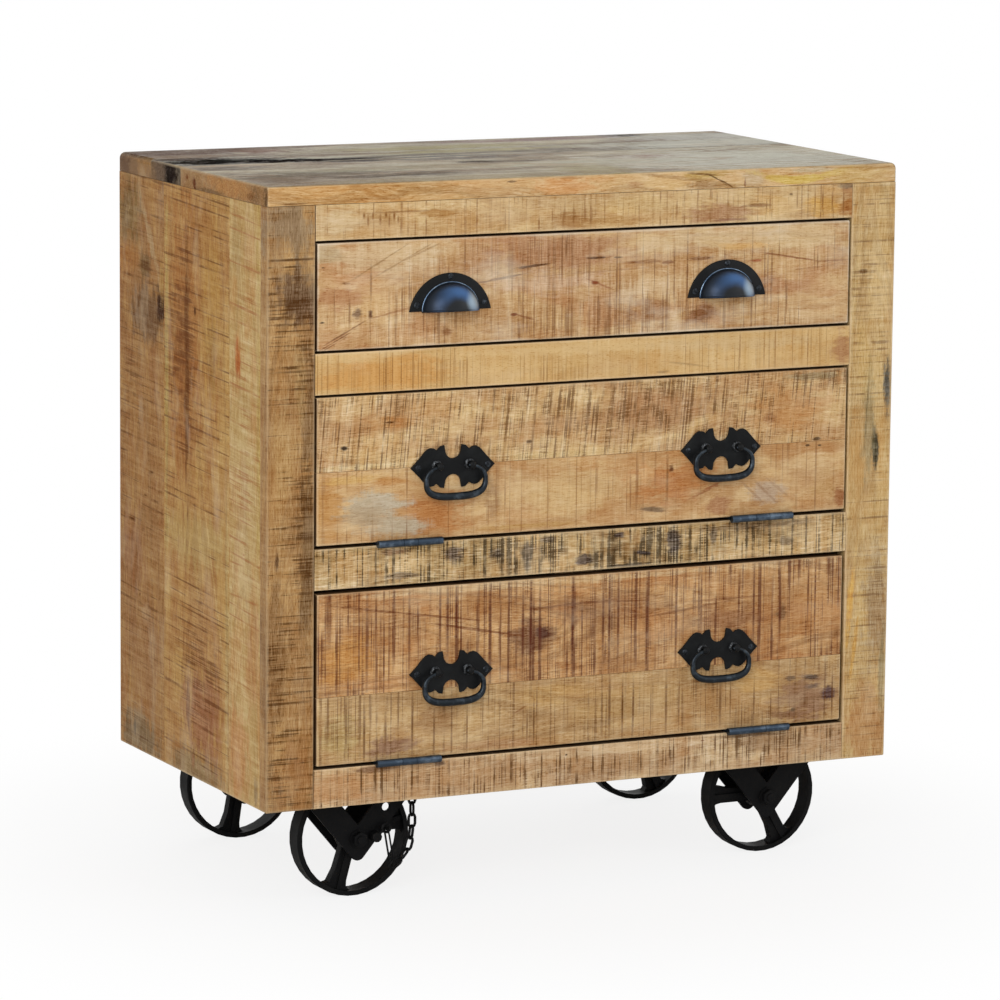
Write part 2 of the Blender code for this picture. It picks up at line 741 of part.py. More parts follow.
def wheel(first_spoke):
    """One wheel whose first spoke stands at the given angle, seen from the front."""
    half_width_y = WHEEL_WIDTH / 2
    inner = WHEEL_RADIUS - RIM_THICK
    rim_profile = [
        (WHEEL_RADIUS - RIM_EDGE, half_width_y), (WHEEL_RADIUS, half_width_y - RIM_EDGE),
        (WHEEL_RADIUS, RIM_EDGE - half_width_y), (WHEEL_RADIUS - RIM_EDGE, -half_width_y),
        (inner, -half_width_y), (inner, half_width_y)]
    half_step = math.pi / WHEEL_STEPS
    rim = turned(rim_profile, WHEEL_STEPS, True, ALONG_Y, half_step)
    spokes = [first_spoke + 2 * math.pi * i / 3 for i in range(3)]
    windows = [window(a, a + 2 * math.pi / 3) for a in spokes]
    mid_rim = WHEEL_RADIUS - RIM_THICK / 2
    edge = arc((0, 0), mid_rim, 0, 2 * math.pi, WHEEL_STEPS // 2)[:-1]
    web = plate_tool([edge, *windows], WEB_THICK)
    hub = rod_tool(HUB_RADIUS, HUB_LENGTH, 14, (0, 0, 0), ALONG_Y)
    ribs = []
    rib_reach = WHEEL_RADIUS - RIM_THICK / 2
    for angle in spokes:
        rib = tool(block((rib_reach - HUB_RADIUS / 2, RIB_DEPTH, RIB_WIDTH)))
        middle = polar((rib_reach + HUB_RADIUS / 2) / 2, angle)
        rib.location = (middle[0], 0, middle[1])
        rib.rotation_euler = (0, -angle, 0)
        ribs.append(rib)
    bore = rod_tool(AXLE_RADIUS + AXLE_PLAY, HUB_LENGTH + OVERRUN, 10, (0, 0, 0), ALONG_Y)
    return smoothed(combined(rim, [web, hub, *ribs], [bore]))


# Wheel bracket, round the middle of its axle

def strap_reach():
    """From the wheel's middle plane to the inner face of each strap."""
    return HUB_LENGTH / 2 + HUB_PLAY


def strap_outline(top):
    """A V of two straps that meet just under the axle in a rounded tip."""
    half = STRAP_WIDTH / 2
    sine, cosine = math.sin(STRAP_ANGLE), math.cos(STRAP_ANGLE)
    tip_z = -(half + STRAP_MEET * sine - STRAP_TIP_RADIUS) / sine
    tip = arc((0, tip_z), STRAP_TIP_RADIUS, -math.pi / 2, -STRAP_ANGLE, 3)
    rise = top - tip[-1][1]
    outer_top = (tip[-1][0] + rise * sine / cosine, top)
    inner_top = (outer_top[0] - STRAP_WIDTH / cosine, top)
    notch = (0, half / sine - STRAP_MEET)
    return mirrored([*tip, outer_top, inner_top, notch])


def bracket(with_lock):
    plate_low = bracket_plate_z - axle_z
    plate_high = plate_low + BRACKET_PLATE_THICK
    reach_y = strap_reach() + STRAP_THICK
    half_plate = (BRACKET_PLATE_LENGTH / 2, reach_y + BRACKET_PLATE_MARGIN)
    plate = tool(block((half_plate[0] * 2, half_plate[1] * 2, BRACKET_PLATE_THICK)),
                 (0, 0, (plate_low + plate_high) / 2))
    outline = strap_outline(plate_low + BRACKET_PLATE_THICK / 2)
    strap_y = strap_reach() + STRAP_THICK / 2
    straps = [plate_tool([outline], STRAP_THICK, (0, side * strap_y, 0)) for side in (-1, 1)]
    holes = [rod_tool(AXLE_RADIUS + AXLE_PLAY, reach_y * 2 + OVERRUN, 10, (0, 0, 0), ALONG_Y)]
    screw_x = half_plate[0] - BRACKET_SCREW_INSET
    for x in (-screw_x, -screw_x / 2, screw_x / 2, screw_x):
        holes.append(rod_tool(BRACKET_SCREW_RADIUS, BRACKET_PLATE_THICK + OVERRUN, 6,
                              (x, 0, (plate_low + plate_high) / 2), (0, 0, 0)))
    if with_lock:
        holes.append(rod_tool(PIN_RADIUS + PIN_PLAY, STRAP_THICK + strap_reach(), 12,
                              (PIN_OFFSET_X, -strap_y, PIN_OFFSET_Z), ALONG_Y))
        x, z = polar(STRAP_HOLE_ALONG, math.pi / 2 - STRAP_ANGLE)
        holes.append(rod_tool(STRAP_HOLE_RADIUS, STRAP_THICK + strap_reach(), 12,
                              (x, -strap_y, z - STRAP_MEET), ALONG_Y))
    return smoothed(combined(plate, straps, holes))


# Axle bolt: a turned shank with two washers, a hexagon head in front and a nut behind

def axle_bolt():
    outside = strap_reach() + STRAP_THICK + SEAT
    washer = outside + WASHER_THICK
    end = washer + NUT_THICK + BOLT_END
    profile = [
        (0, end), (AXLE_RADIUS, end), (AXLE_RADIUS, washer), (WASHER_RADIUS, washer),
        (WASHER_RADIUS, outside), (AXLE_RADIUS, outside), (AXLE_RADIUS, -outside),
        (WASHER_RADIUS, -outside), (WASHER_RADIUS, -washer), (AXLE_RADIUS, -washer),
        (AXLE_RADIUS, -end), (0, -end)]
    shank = turned(profile, 8, False, ALONG_Y)
    hex_radius = NUT_ACROSS_FLATS / math.sqrt(3)
    nuts = [rod_tool(hex_radius, NUT_THICK + WASHER_THICK / 2, 6,
                     (0, side * (washer + (NUT_THICK - WASHER_THICK / 2) / 2), 0), ALONG_Y)
            for side in (-1, 1)]
    return smoothed(combined(shank, nuts))


# Wheel lock

def lock_pin():
    """The pin round its own axis at the strap's front face: nose, head, and the eye on an arm."""
    nose = -STRAP_THICK - PIN_NOSE
    profile = [
        (0, PIN_HEAD_LENGTH), (PIN_HEAD_RADIUS - PIN_HEAD_EDGE, PIN_HEAD_LENGTH),
        (PIN_HEAD_RADIUS, PIN_HEAD_LENGTH - PIN_HEAD_EDGE), (PIN_HEAD_RADIUS, SEAT), (PIN_RADIUS, SEAT),
        (PIN_RADIUS, nose + PIN_HEAD_EDGE), (PIN_RADIUS - PIN_HEAD_EDGE, nose), (0, nose)]
    pin = turned(profile, 10, False, ALONG_Y)
    eye_y = chain_y - pin_face_y
    centre = Vector((PIN_EYE_OFFSET_X, eye_y, PIN_EYE_OFFSET_Z))
    ring_points = [(x, eye_y, z) for x, z in arc((centre.x, centre.z), PIN_EYE_RADIUS, 0, math.tau, 10)]
    ring = tool(wire_mesh(ring_points[:-1], PIN_EYE_WIRE, 1, True))
    outward = Vector((PIN_EYE_OFFSET_X, 0, PIN_EYE_OFFSET_Z)).normalized()
    arm_start = Vector((0, eye_y, 0))
    arm_end = centre - outward * PIN_EYE_RADIUS
    arm = tool(wire_mesh([tuple(arm_start), tuple(arm_end)], PIN_EYE_WIRE, 2, False))
    return smoothed(combined(pin, [arm, ring]))


def oval(half_straight, radius, count):
    """A stadium outline in (across, along) coordinates."""
    top = [(x, half_straight + y) for x, y in arc((0, 0), radius, 0, math.pi, count)]
    low = [(x, y - half_straight) for x, y in arc((0, 0), radius, math.pi, 2 * math.pi, count)]
    return top + low


def link(centre, lean, across):
    """An oval link whose long axis leans from the vertical, and whose width runs along across."""
    radius = LINK_INNER_WIDTH / 2 + LINK_WIRE_RADIUS
    half_straight = LINK_INNER_LENGTH / 2 + LINK_WIRE_RADIUS - radius
    along = Vector((math.sin(lean), 0, math.cos(lean)))
    points = [tuple(Vector(centre) + across * u + along * v) for u, v in oval(half_straight, radius, 4)]
    return tool(wire_mesh(points, LINK_WIRE_RADIUS, 1, True))


def chain_places():
    """The middle and lean of each link, hung one from another down the chain."""
    pitch = LINK_INNER_LENGTH + LINK_WIRE_RADIUS * LINK_BITE_SHARE
    hung_z = floor_under_z - STAPLE_DROP + STAPLE_WIRE_RADIUS + SEAT
    place = Vector((0, 0, hung_z - LINK_INNER_LENGTH / 2))
    places = [(place.copy(), LINK_TURNS[0])]
    for before, lean in zip(LINK_TURNS, LINK_TURNS[1:]):
        for angle in (before, lean):
            place += Vector((-math.sin(angle), 0, -math.cos(angle))) * pitch / 2
        places.append((place.copy(), lean))
    return places


def lock_chain():
    """The hanging chain, round the staple's place on the floor: links turn a quarter one to the next."""
    links = []
    for index, (place, lean) in enumerate(chain_places()):
        across = Vector((math.cos(lean), 0, -math.sin(lean))) if index % 2 == 0 else Vector((0, 1, 0))
        links.append(link(place, lean, across))
    return smoothed(combined(links[0], links[1:]))


def pin_loop():
    """The wire loop between the pin's eye and the chain's last link, round the staple's place."""
    place, lean = chain_places()[-1]
    toward_end = Vector((-math.sin(lean), 0, -math.cos(lean)))
    bottom = place + toward_end * (LINK_INNER_LENGTH / 2 - LOOP_WIRE_RADIUS - SEAT)
    top = Vector((pin_x + PIN_EYE_OFFSET_X - chain_x, 0, axle_z + PIN_OFFSET_Z + PIN_EYE_OFFSET_Z))
    middle = (top + bottom) / 2
    along = (top - bottom).normalized()
    half_straight = (top - bottom).length / 2 - LOOP_HALF_WIDTH
    across = Vector((0, 1, 0))
    points = [tuple(middle + across * u + along * v) for u, v in oval(half_straight, LOOP_HALF_WIDTH, 5)]
    return smoothed(wire_mesh(points, LOOP_WIRE_RADIUS, 1, True))


def chain_staple():
    """A staple with a plate, round the chain's place on the floor."""
    plate_top = floor_under_z - SEAT
    plate_low = plate_top - STAPLE_PLATE_THICK
    middle = staple_y - chain_y
    plate = tool(block((STAPLE_PLATE_WIDTH, STAPLE_PLATE_LENGTH, STAPLE_PLATE_THICK)),
                 (0, middle, (plate_top + plate_low) / 2))
    crown_z = floor_under_z - STAPLE_DROP
    foot_z = plate_low + STAPLE_PLATE_THICK / 2
    bend = STAPLE_WIRE_RADIUS
    near, far = middle - STAPLE_SPAN / 2, middle + STAPLE_SPAN / 2
    points = [
        (0, near, foot_z), (0, near, crown_z + bend), (0, near + bend, crown_z),
        (0, far - bend, crown_z), (0, far, crown_z + bend), (0, far, foot_z)]
    wire = tool(wire_mesh(points, STAPLE_WIRE_RADIUS, 2, False))
    return smoothed(combined(plate, [wire]))


# Assembly

carcass()
flap_stop("upper_flap_stop", drawer_opening_z - SHELF_THICK, upper_rail_z - UPPER_FLAP_GAP - STOP_DROP)
flap_stop("lower_flap_stop", upper_opening_z - SHELF_THICK, lower_rail_z - LOWER_FLAP_TOP_GAP - STOP_DROP)
drawer()

flap_meshes = {
    "fixed_leaf": fixed_leaf(),
    "moving_leaf": moving_leaf(),
    "escutcheon": escutcheon(),
    "bail": bail(),
}
flap("upper_flap", upper_opening_z, UPPER_OPENING, UPPER_FLAP_GAP, UPPER_FLAP_GAP, UPPER_FLAP_PLANK,
     flap_meshes)
flap("lower_flap", lower_opening_z, LOWER_OPENING, LOWER_FLAP_SIDE_GAP, LOWER_FLAP_TOP_GAP,
     LOWER_FLAP_PLANK, flap_meshes)

left_x = LEFT_AXLE_INSET - half_width
right_x = half_width - RIGHT_AXLE_INSET
front_left_y = front_y + FRONT_LEFT_SETBACK + WHEEL_WIDTH / 2
front_right_y = front_y + FRONT_RIGHT_SETBACK + WHEEL_WIDTH / 2
rear_y = back_y - REAR_SETBACK - WHEEL_WIDTH / 2
pin_x = left_x + PIN_OFFSET_X
pin_face_y = front_left_y - strap_reach() - STRAP_THICK
chain_x = CHAIN_INSET - half_width
chain_y = front_y + CHAIN_SETBACK
staple_y = pin_face_y - BRACKET_PLATE_MARGIN - SEAT - STAPLE_PLATE_LENGTH / 2

wheel_places = {
    "front_left": (left_x, front_left_y, math.radians(15)),
    "front_right": (right_x, front_right_y, math.radians(60)),
    "rear_left": (left_x, rear_y, math.radians(22)),
    "rear_right": (right_x, rear_y, math.radians(56)),
}
bolt = axle_bolt()
plain_bracket, lock_bracket = bracket(False), bracket(True)
for name, (x, y, first_spoke) in wheel_places.items():
    centre = (x, y, axle_z)
    axis = carrier("wheel_axis_" + name, centre)
    part("wheel_" + name, wheel(first_spoke), centre, "black_iron", axis)
    mesh = lock_bracket if name == "front_left" else plain_bracket
    part("wheel_bracket_" + name, mesh, centre, "black_iron")
    part("axle_bolt_" + name, bolt, centre, "black_iron")

pin_slide = carrier("lock_pin_slide", (pin_x, pin_face_y, axle_z + PIN_OFFSET_Z))
part("lock_pin", lock_pin(), (pin_x, pin_face_y, axle_z + PIN_OFFSET_Z), "hinge_steel", pin_slide)
part("pin_loop", pin_loop(), (chain_x, chain_y, 0), "black_iron", pin_slide)
part("lock_chain", lock_chain(), (chain_x, chain_y, 0), "black_iron", pin_slide)
part("chain_staple", chain_staple(), (chain_x, chain_y, 0), "black_iron")
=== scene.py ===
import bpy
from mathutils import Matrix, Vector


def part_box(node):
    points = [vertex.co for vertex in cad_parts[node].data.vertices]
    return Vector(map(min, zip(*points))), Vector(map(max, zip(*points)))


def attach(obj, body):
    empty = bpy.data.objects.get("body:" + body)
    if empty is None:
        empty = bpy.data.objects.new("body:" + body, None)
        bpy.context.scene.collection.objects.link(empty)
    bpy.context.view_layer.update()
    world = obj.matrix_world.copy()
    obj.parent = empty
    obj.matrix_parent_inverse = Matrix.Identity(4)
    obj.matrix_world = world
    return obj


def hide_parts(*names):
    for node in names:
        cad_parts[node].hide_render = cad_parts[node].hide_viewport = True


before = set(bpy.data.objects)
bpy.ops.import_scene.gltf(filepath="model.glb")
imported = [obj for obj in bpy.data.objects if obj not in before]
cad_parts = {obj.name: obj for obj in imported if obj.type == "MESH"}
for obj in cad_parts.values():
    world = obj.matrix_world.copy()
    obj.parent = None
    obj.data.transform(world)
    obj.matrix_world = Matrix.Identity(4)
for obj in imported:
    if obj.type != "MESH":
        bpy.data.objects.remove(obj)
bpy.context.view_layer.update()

import math

import bmesh
import bpy
from mathutils import Matrix, Vector

print("frame loaded:", len(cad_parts), "nodes")


def linear(hexColour):
    # sRGB hex to the linear values that sockets take
    channels = [int(hexColour[i:i + 2], 16) / 255 for i in (0, 2, 4)]
    return [c / 12.92 if c <= 0.04045 else ((c + 0.055) / 1.055) ** 2.4 for c in channels] + [1.0]


def addNode(tree, kind, inputs=None, **settings):
    made = tree.nodes.new("ShaderNode" + kind)
    for name, value in settings.items():
        setattr(made, name, value)
    for key, value in (inputs or {}).items():
        if isinstance(value, bpy.types.NodeSocket):
            tree.links.new(value, made.inputs[key])
        else:
            made.inputs[key].default_value = value
    return made


def addMath(tree, operation, *values, **settings):
    return addNode(tree, "Math", dict(enumerate(values)), operation=operation, **settings).outputs[0]


def addVector(tree, operation, *values):
    made = addNode(tree, "VectorMath", dict(enumerate(values)), operation=operation)
    return made.outputs["Value" if operation in ("LENGTH", "DISTANCE", "DOT_PRODUCT") else "Vector"]


def addRange(tree, value, start, end, low=0.0, high=1.0, ease="LINEAR", clamp=True):
    return addNode(tree, "MapRange", {
        "Value": value, "From Min": start, "From Max": end, "To Min": low, "To Max": high},
        interpolation_type=ease, clamp=clamp).outputs[0]


def addNoise(tree, place, scale, detail, roughness=0.5):
    # scale: one number, or one for each direction
    if isinstance(scale, tuple):
        place, scale = addVector(tree, "MULTIPLY", place, scale), 1.0
    return addNode(tree, "TexNoise", {
        "Vector": place, "Scale": scale, "Detail": detail, "Roughness": roughness}).outputs


def addMix(tree, amount, first, second):
    # each colour is sRGB hex or comes from a node
    first, second = [linear(colour) if isinstance(colour, str) else colour for colour in (first, second)]
    return addNode(tree, "Mix", {0: amount, 6: first, 7: second}, data_type="RGBA").outputs[2]


def addBump(tree, shader, height, strength, distance):
    bump = addNode(tree, "Bump", {"Height": height, "Strength": strength, "Distance": distance})
    tree.links.new(bump.outputs[0], shader.inputs["Normal"])


def newMaterial(name):
    material = bpy.data.materials.new(name)
    material.use_nodes = True
    return material, material.node_tree, material.node_tree.nodes["Principled BSDF"]


# Camera and lights

cameraView = {
    "place": (-2.7037, -5.5071, 1.4148),
    "turnRight": 0.4549,
    "tipDown": 0.1605,
    "roll": 0.0095,
    "lens": 189.28,
}
camera = bpy.data.objects.new("camera", bpy.data.cameras.new("camera"))
bpy.context.scene.collection.objects.link(camera)
camera.data.lens = cameraView["lens"]
camera.data.sensor_width = 36
camera.data.clip_end = 60
camera.matrix_world = (
    Matrix.Translation(cameraView["place"])
    @ Matrix.Rotation(-cameraView["turnRight"], 4, "Z")
    @ Matrix.Rotation(math.pi / 2 - cameraView["tipDown"], 4, "X")
    @ Matrix.Rotation(cameraView["roll"], 4, "Z"))
bpy.context.scene.camera = camera
bpy.context.scene.view_settings.view_transform = "Standard"

softLights = {
    # name: place, size, watts
    "keyLight": ((-2.6, -3.2, 2.0), 2.4, 90),
    "fillLight": ((2.8, -2.9, 1.6), 1.6, 15),
    "backLight": ((1.6, 3.0, 2.0), 2.2, 12),
}
for name, (place, size, watts) in softLights.items():
    lamp = bpy.data.lights.new(name, "AREA")
    lamp.energy = watts
    lamp.size = size
    light = bpy.data.objects.new(name, lamp)
    bpy.context.scene.collection.objects.link(light)
    light.location = place
    light.rotation_euler = (Vector((0, 0, 0.4)) - Vector(place)).to_track_quat("-Z", "Y").to_euler()

studio = {
    "ambient": 0.5,             # what the surroundings give where the camera doesn't see them
    "floorColour": "f7f7f6",
    "floorHalf": 9.0,
    "shadowFades": (0.35, 0.9), # metres from the middle of the floor
    "shadowLift": 0.84,         # how white the floor is made to look under the chest
}
world = bpy.data.worlds.new("studio")
world.use_nodes = True
bpy.context.scene.world = world
tree = world.node_tree
rays = addNode(tree, "LightPath").outputs
seen = addMath(tree, "MAXIMUM", rays["Is Camera Ray"], rays["Is Transmission Ray"])
seen = addMath(tree, "MAXIMUM", seen, rays["Is Glossy Ray"])
tree.nodes["Background"].inputs["Color"].default_value = (1, 1, 1, 1)
strength = addRange(tree, seen, 0.0, 1.0, studio["ambient"])
tree.links.new(strength, tree.nodes["Background"].inputs["Strength"])

# Pale studio floor: matt near the chest, so it holds the shadow, and plain white further out
material, tree, shader = newMaterial("paleFloor")
shader.inputs["Base Color"].default_value = linear(studio["floorColour"])
shader.inputs["Roughness"].default_value = 0.9
reach = addVector(tree, "LENGTH", addNode(tree, "TexCoord").outputs["Object"])
fade = addRange(tree, reach, *studio["shadowFades"], studio["shadowLift"], 1.0, "SMOOTHSTEP")
seen = addMath(tree, "MULTIPLY", fade, addNode(tree, "LightPath").outputs["Is Camera Ray"])
white = addNode(tree, "Emission", {"Color": (1, 1, 1, 1), "Strength": 1.0})
both = addNode(tree, "MixShader", {0: seen, 1: shader.outputs[0], 2: white.outputs[0]})
tree.links.new(both.outputs[0], tree.nodes["Material Output"].inputs["Surface"])
shape = bmesh.new()
bmesh.ops.create_grid(shape, x_segments=1, y_segments=1, size=studio["floorHalf"])
mesh = bpy.data.meshes.new("studioFloor")
shape.to_mesh(mesh)
shape.free()
mesh.materials.append(material)
floor = bpy.data.objects.new("studioFloor", mesh)
bpy.context.scene.collection.objects.link(floor)
print("camera, lights and floor set")


# Rough sawn mango boards under a thin brown wax: warm tan, patchy from orange to pale grey, combed with fine
# saw marks straight across the grain, some of them full of dark wax, and edges painted pale, partly rubbed
# wear and partly a painted highlight

layAxes = {
    # the world axes of a board's length, its width and its thickness
    "front": ((1, 0, 0), (0, 0, 1), (0, -1, 0)),
    "stile": ((0, 0, 1), (1, 0, 0), (0, 1, 0)),
    "side": ((0, 0, 1), (0, 1, 0), (-1, 0, 0)),
    "top": ((1, 0, 0), (0, 1, 0), (0, 0, 1)),
    "depth": ((0, 1, 0), (1, 0, 0), (0, 0, -1)),
}

plainWood = {
    "base": "b8956b",
    "light": "caab80",
    "warm": "b5834f",       # orange brown heartwood, in patches
    "warmth": 0.5,
    "dark": "8f6c45",
    "patchSize": 0.10,      # metres, length of a pale or brown patch
    "ringSpacing": 0.0075,
    "ringDepth": 0.045,     # how deep under the face the rings' centre lies
    "ringOffset": 0.0,      # how far the centre lies from the board's middle line
    "ringSlope": 0.06,
    "ringStrength": 0.22,
    "fibre": 0.17,          # how much fine fibres darken and lighten the board
    "comb": 0.14,           # how much the fine saw marks do
    "pores": 0.35,          # and how dark the pores are
    "sawColour": "6b4925",
    "sawSpacing": 0.0044,
    "sawLean": 0.0,
    "sawStrength": 0.6,
    "sawCover": 0.4,        # 0 leaves no dark marks, 1 covers the board
    "sawRun": 0.07,         # metres that a mark runs across the board before it fades
    "sawRagged": 0.06,      # how far the fibres break a mark up
    "sawPatches": (),       # (along, across, half length, half width, more or less cover)
    "strokes": (),          # single deep marks: (along, across, half width, half height, strength)
    # painted pale on the edges: partly rubbed wear, partly a painted highlight
    "paleColour": "dcc39c",
    "wearAndHighlightStrength": 0.6,
    "wearAndHighlightWidth": 0.0032,
    "endColour": "7d5a37",
    # painted shade on the narrow faces in the gaps
    "gapShadeColour": None,
    "paintedSheenColours": None,    # base and light colour of the broad face alone: a painted sheen, greying the face as light glancing off wax would
    "paintedSheenShare": 0.85,
    "roughness": 0.6,
    "gloss": 0.3,
    # (along, across, half length, half width, colour, strength), then slope and bow if it leans or arches
    "stains": (),
    "edgeStains": (),       # the same on the board's edges: (along, thickness, ...)
    "endStains": (),        # and on its ends: (across, thickness, ...)
    "knots": (),            # (along, across, size, colour)
}


sawnGrain = {
    # how fine each pattern is along, across and through the board, per metre
    "wander": (5, 16, 16),
    "rough": (14, 22, 8),
    "fibre": (45, 700, 700),
    "comb": (110, 7, 7),
    "pore": (240, 1100, 1100),
    "ragged": (24, 90, 90),
    "patchWide": 2.6,           # a patch is this many times longer than wide
    "wanderBy": 0.022,          # metres that the grain wanders
    "ringCut": (0.49, 0.62),    # noise between the two values fades a pattern in
    "paleCut": (0.42, 0.60),
    "warmCut": (0.48, 0.64),
    "poreCut": (0.60, 0.70),
    "runCut": (0.38, 0.58),
    "fineCut": (0.35, 0.65),
    "strokeCut": (1.3, 2.3),    # and so does the way out from the middle of an oval
    "stainCut": (0.45, 1.2),
    "knotCut": (0.4, 1.1),
    "patchCut": (0.3, 1.2),
    "facingCut": (0.55, 0.9),
    "combCut": (-0.9, -0.1),    # the comb of saw marks is faint where the cover is low
    "glossCut": (0.02, 0.16),   # and the gloss where the colour is dark
    "coverSwing": (1.6, -1.3),  # noise times the first plus the second
    "raggedSwing": (2.6, -1.9),
    "wearAndHighlightSwing": (2.4, -2.25),
    "roughSwing": (-0.06, 0.08),
    "markEdge": 0.55,           # a saw mark starts at this value of its noise
    "markFade": 0.08,
    "markCover": 0.16,          # how much rough places widen the marks
    "strokeRagged": 2.0,
    "stainRagged": 1.2,
    "knotRagged": 0.5,
    "knotSwirl": 5.0,           # rings pushed aside at a knot
    "knotDarkness": 0.92,
    # painted shade: how dark the narrow faces in the gaps are painted
    "gapShadeDepth": 0.85,
    "endWax": 0.75,
    "grainDepth": 0.6,          # how far the dark grain and the saw marks sink in
    "sawDepth": 0.5,
    "bump": 0.0008,
}


def ovalAway(tree, place, along, across, halfLong, halfWide, slope=0.0, bow=0.0):
    # how far a point lies from the middle of an oval, counted in its half sizes; the oval may lean or arch
    off = addVector(tree, "SUBTRACT", place, (along, across, 0))
    if slope or bow:
        along = addNode(tree, "SeparateXYZ", {0: off}).outputs["X"]
        rise = addMath(tree, "MULTIPLY_ADD", along, bow, slope)
        rise = addNode(tree, "CombineXYZ", {"Y": addMath(tree, "MULTIPLY", rise, along)}).outputs[0]
        off = addVector(tree, "SUBTRACT", off, rise)
    off = addVector(tree, "MULTIPLY", off, (1 / halfLong, 1 / halfWide, 0))
    return addVector(tree, "LENGTH", off)


def boardWood(name, low, high, lay, whole=None, **changes):
    # whole: the corners of the glued panel that this board is a plank of
    wood = {**plainWood, **changes}
    grain = sawnGrain
    axes = [Vector(axis) for axis in layAxes[lay]]
    turn = Matrix(axes).transposed().to_euler()
    middle = (low + high) / 2
    offMiddle = [middle.dot(axis) for axis in axes]
    material, tree, shader = newMaterial(name)
    coords = addNode(tree, "TexCoord").outputs
    place = addNode(tree, "Mapping", {"Vector": coords["Object"], "Location": middle, "Rotation": turn},
                    vector_type="TEXTURE").outputs[0]
    # each board is cut from its own log, so its noise starts elsewhere
    seed = sum(ord(letter) * (i + 3) for i, letter in enumerate(name)) % 97
    log = addVector(tree, "ADD", place, (seed * 1.7, seed * 0.31, seed * 0.53))
    # how squarely a point faces the board's end, its edge and its broad face
    facing = []
    for axis in axes:
        square = addMath(tree, "ABSOLUTE", addVector(tree, "DOT_PRODUCT", coords["Normal"], axis))
        facing.append(addRange(tree, square, *grain["facingCut"]))
    onEnd, onEdge, onFace = facing

    # the grain wanders a few millimetres over a hand's length
    wander = addNoise(tree, log, grain["wander"], 2.0)["Color"]
    wanderBy = (0, grain["wanderBy"], grain["wanderBy"])
    bent = addVector(tree, "MULTIPLY_ADD", wander, wanderBy, place)
    bentLog = addVector(tree, "MULTIPLY_ADD", wander, wanderBy, log)

    # growth rings round a log's centre under the face, with a swirl round each knot
    deep = addVector(tree, "DOT_PRODUCT", bent, (wood["ringSlope"], 0, 1))
    aside = addNode(tree, "SeparateXYZ", {0: bent}).outputs["Y"]
    section = addNode(tree, "CombineXYZ", {"Y": aside, "Z": deep}).outputs[0]
    centre = (0, wood["ringOffset"] + grain["wanderBy"] / 2, grain["wanderBy"] / 2 - wood["ringDepth"])
    radius = addVector(tree, "DISTANCE", section, centre)
    ringWay = addMath(tree, "MULTIPLY", radius, 1 / wood["ringSpacing"])
    cores = []
    for along, across, size, tint in wood["knots"]:
        near = ovalAway(tree, place, along - offMiddle[0], across - offMiddle[1], 2 * size, size)
        swell = addRange(tree, near, 0.0, 6.0, grain["knotSwirl"], 0.0, "SMOOTHERSTEP")
        ringWay = addMath(tree, "ADD", ringWay, swell)
        cores.append((near, tint))
    rings = addNode(tree, "TexNoise", {
        "W": ringWay, "Scale": 1.0, "Detail": 3.0, "Roughness": 0.7}, noise_dimensions="1D").outputs["Fac"]
    rings = addRange(tree, rings, *grain["ringCut"])

    # patches of paler and of warmer wood
    patchFine = grain["patchWide"] / wood["patchSize"]
    patch = addNoise(tree, bentLog, (1 / wood["patchSize"], patchFine, patchFine), 5.0, 0.65)
    pale = addRange(tree, patch["Fac"], *grain["paleCut"])
    patchParts = addNode(tree, "SeparateColor", {0: patch["Color"]}).outputs
    warm = addRange(tree, patchParts["Green"], *grain["warmCut"], 0.0, wood["warmth"])

    # where the saw ran rough the marks are more, wider and darker
    cover = addNoise(tree, log, grain["rough"], 2.0)["Fac"]
    swing, start = grain["coverSwing"]
    cover = addMath(tree, "MULTIPLY_ADD", cover, swing, wood["sawCover"] + start)
    for along, across, halfLong, halfWide, more in wood["sawPatches"]:
        near = ovalAway(tree, place, along - offMiddle[0], across - offMiddle[1], halfLong, halfWide)
        there = addRange(tree, near, *grain["patchCut"], more, 0.0, "SMOOTHSTEP")
        cover = addMath(tree, "ADD", cover, there)

    # fibres about 1 mm wide, dark pores a few millimetres long, and the fine comb of saw marks across
    # them; each deepens the colour as wax does, so dark lines are redder and light ones creamier
    fibre = addNoise(tree, bentLog, grain["fibre"], 3.0, 0.8)["Fac"]
    fibreShade = addRange(tree, fibre, *grain["fineCut"], 1 - wood["fibre"], 1 + wood["fibre"], clamp=False)
    tilted = addNode(tree, "Mapping", {"Vector": log, "Rotation": (0, 0, wood["sawLean"])},
                     vector_type="POINT").outputs[0]
    comb = addNoise(tree, tilted, grain["comb"], 4.0, 0.9)["Fac"]
    combSwing = addRange(tree, comb, *grain["fineCut"], -wood["comb"], wood["comb"], clamp=False)
    rough = addRange(tree, cover, *grain["combCut"], 0.3, 1.0, "SMOOTHSTEP")
    combShade = addMath(tree, "MULTIPLY_ADD", combSwing, rough, 1.0)
    pores = addNoise(tree, bentLog, grain["pore"], 1.0)["Fac"]
    pores = addRange(tree, pores, *grain["poreCut"], 1.0, 1 + wood["pores"])
    shade = addMath(tree, "MULTIPLY", fibreShade, combShade)
    shade = addMath(tree, "MULTIPLY", shade, pores)

    # dark saw marks
    row = addNode(tree, "SeparateXYZ", {0: tilted}).outputs["X"]
    row = addMath(tree, "MULTIPLY", row, 1 / wood["sawSpacing"])
    lines = addNode(tree, "TexNoise", {
        "W": row, "Scale": 1.0, "Detail": 2.0, "Roughness": 0.7}, noise_dimensions="1D").outputs["Fac"]
    lines = addMath(tree, "MULTIPLY_ADD", cover, grain["markCover"], lines)
    lines = addMath(tree, "MULTIPLY_ADD", fibre, wood["sawRagged"], lines)
    edge = grain["markEdge"] + wood["sawRagged"] / 2
    lines = addRange(tree, lines, edge, edge + grain["markFade"])
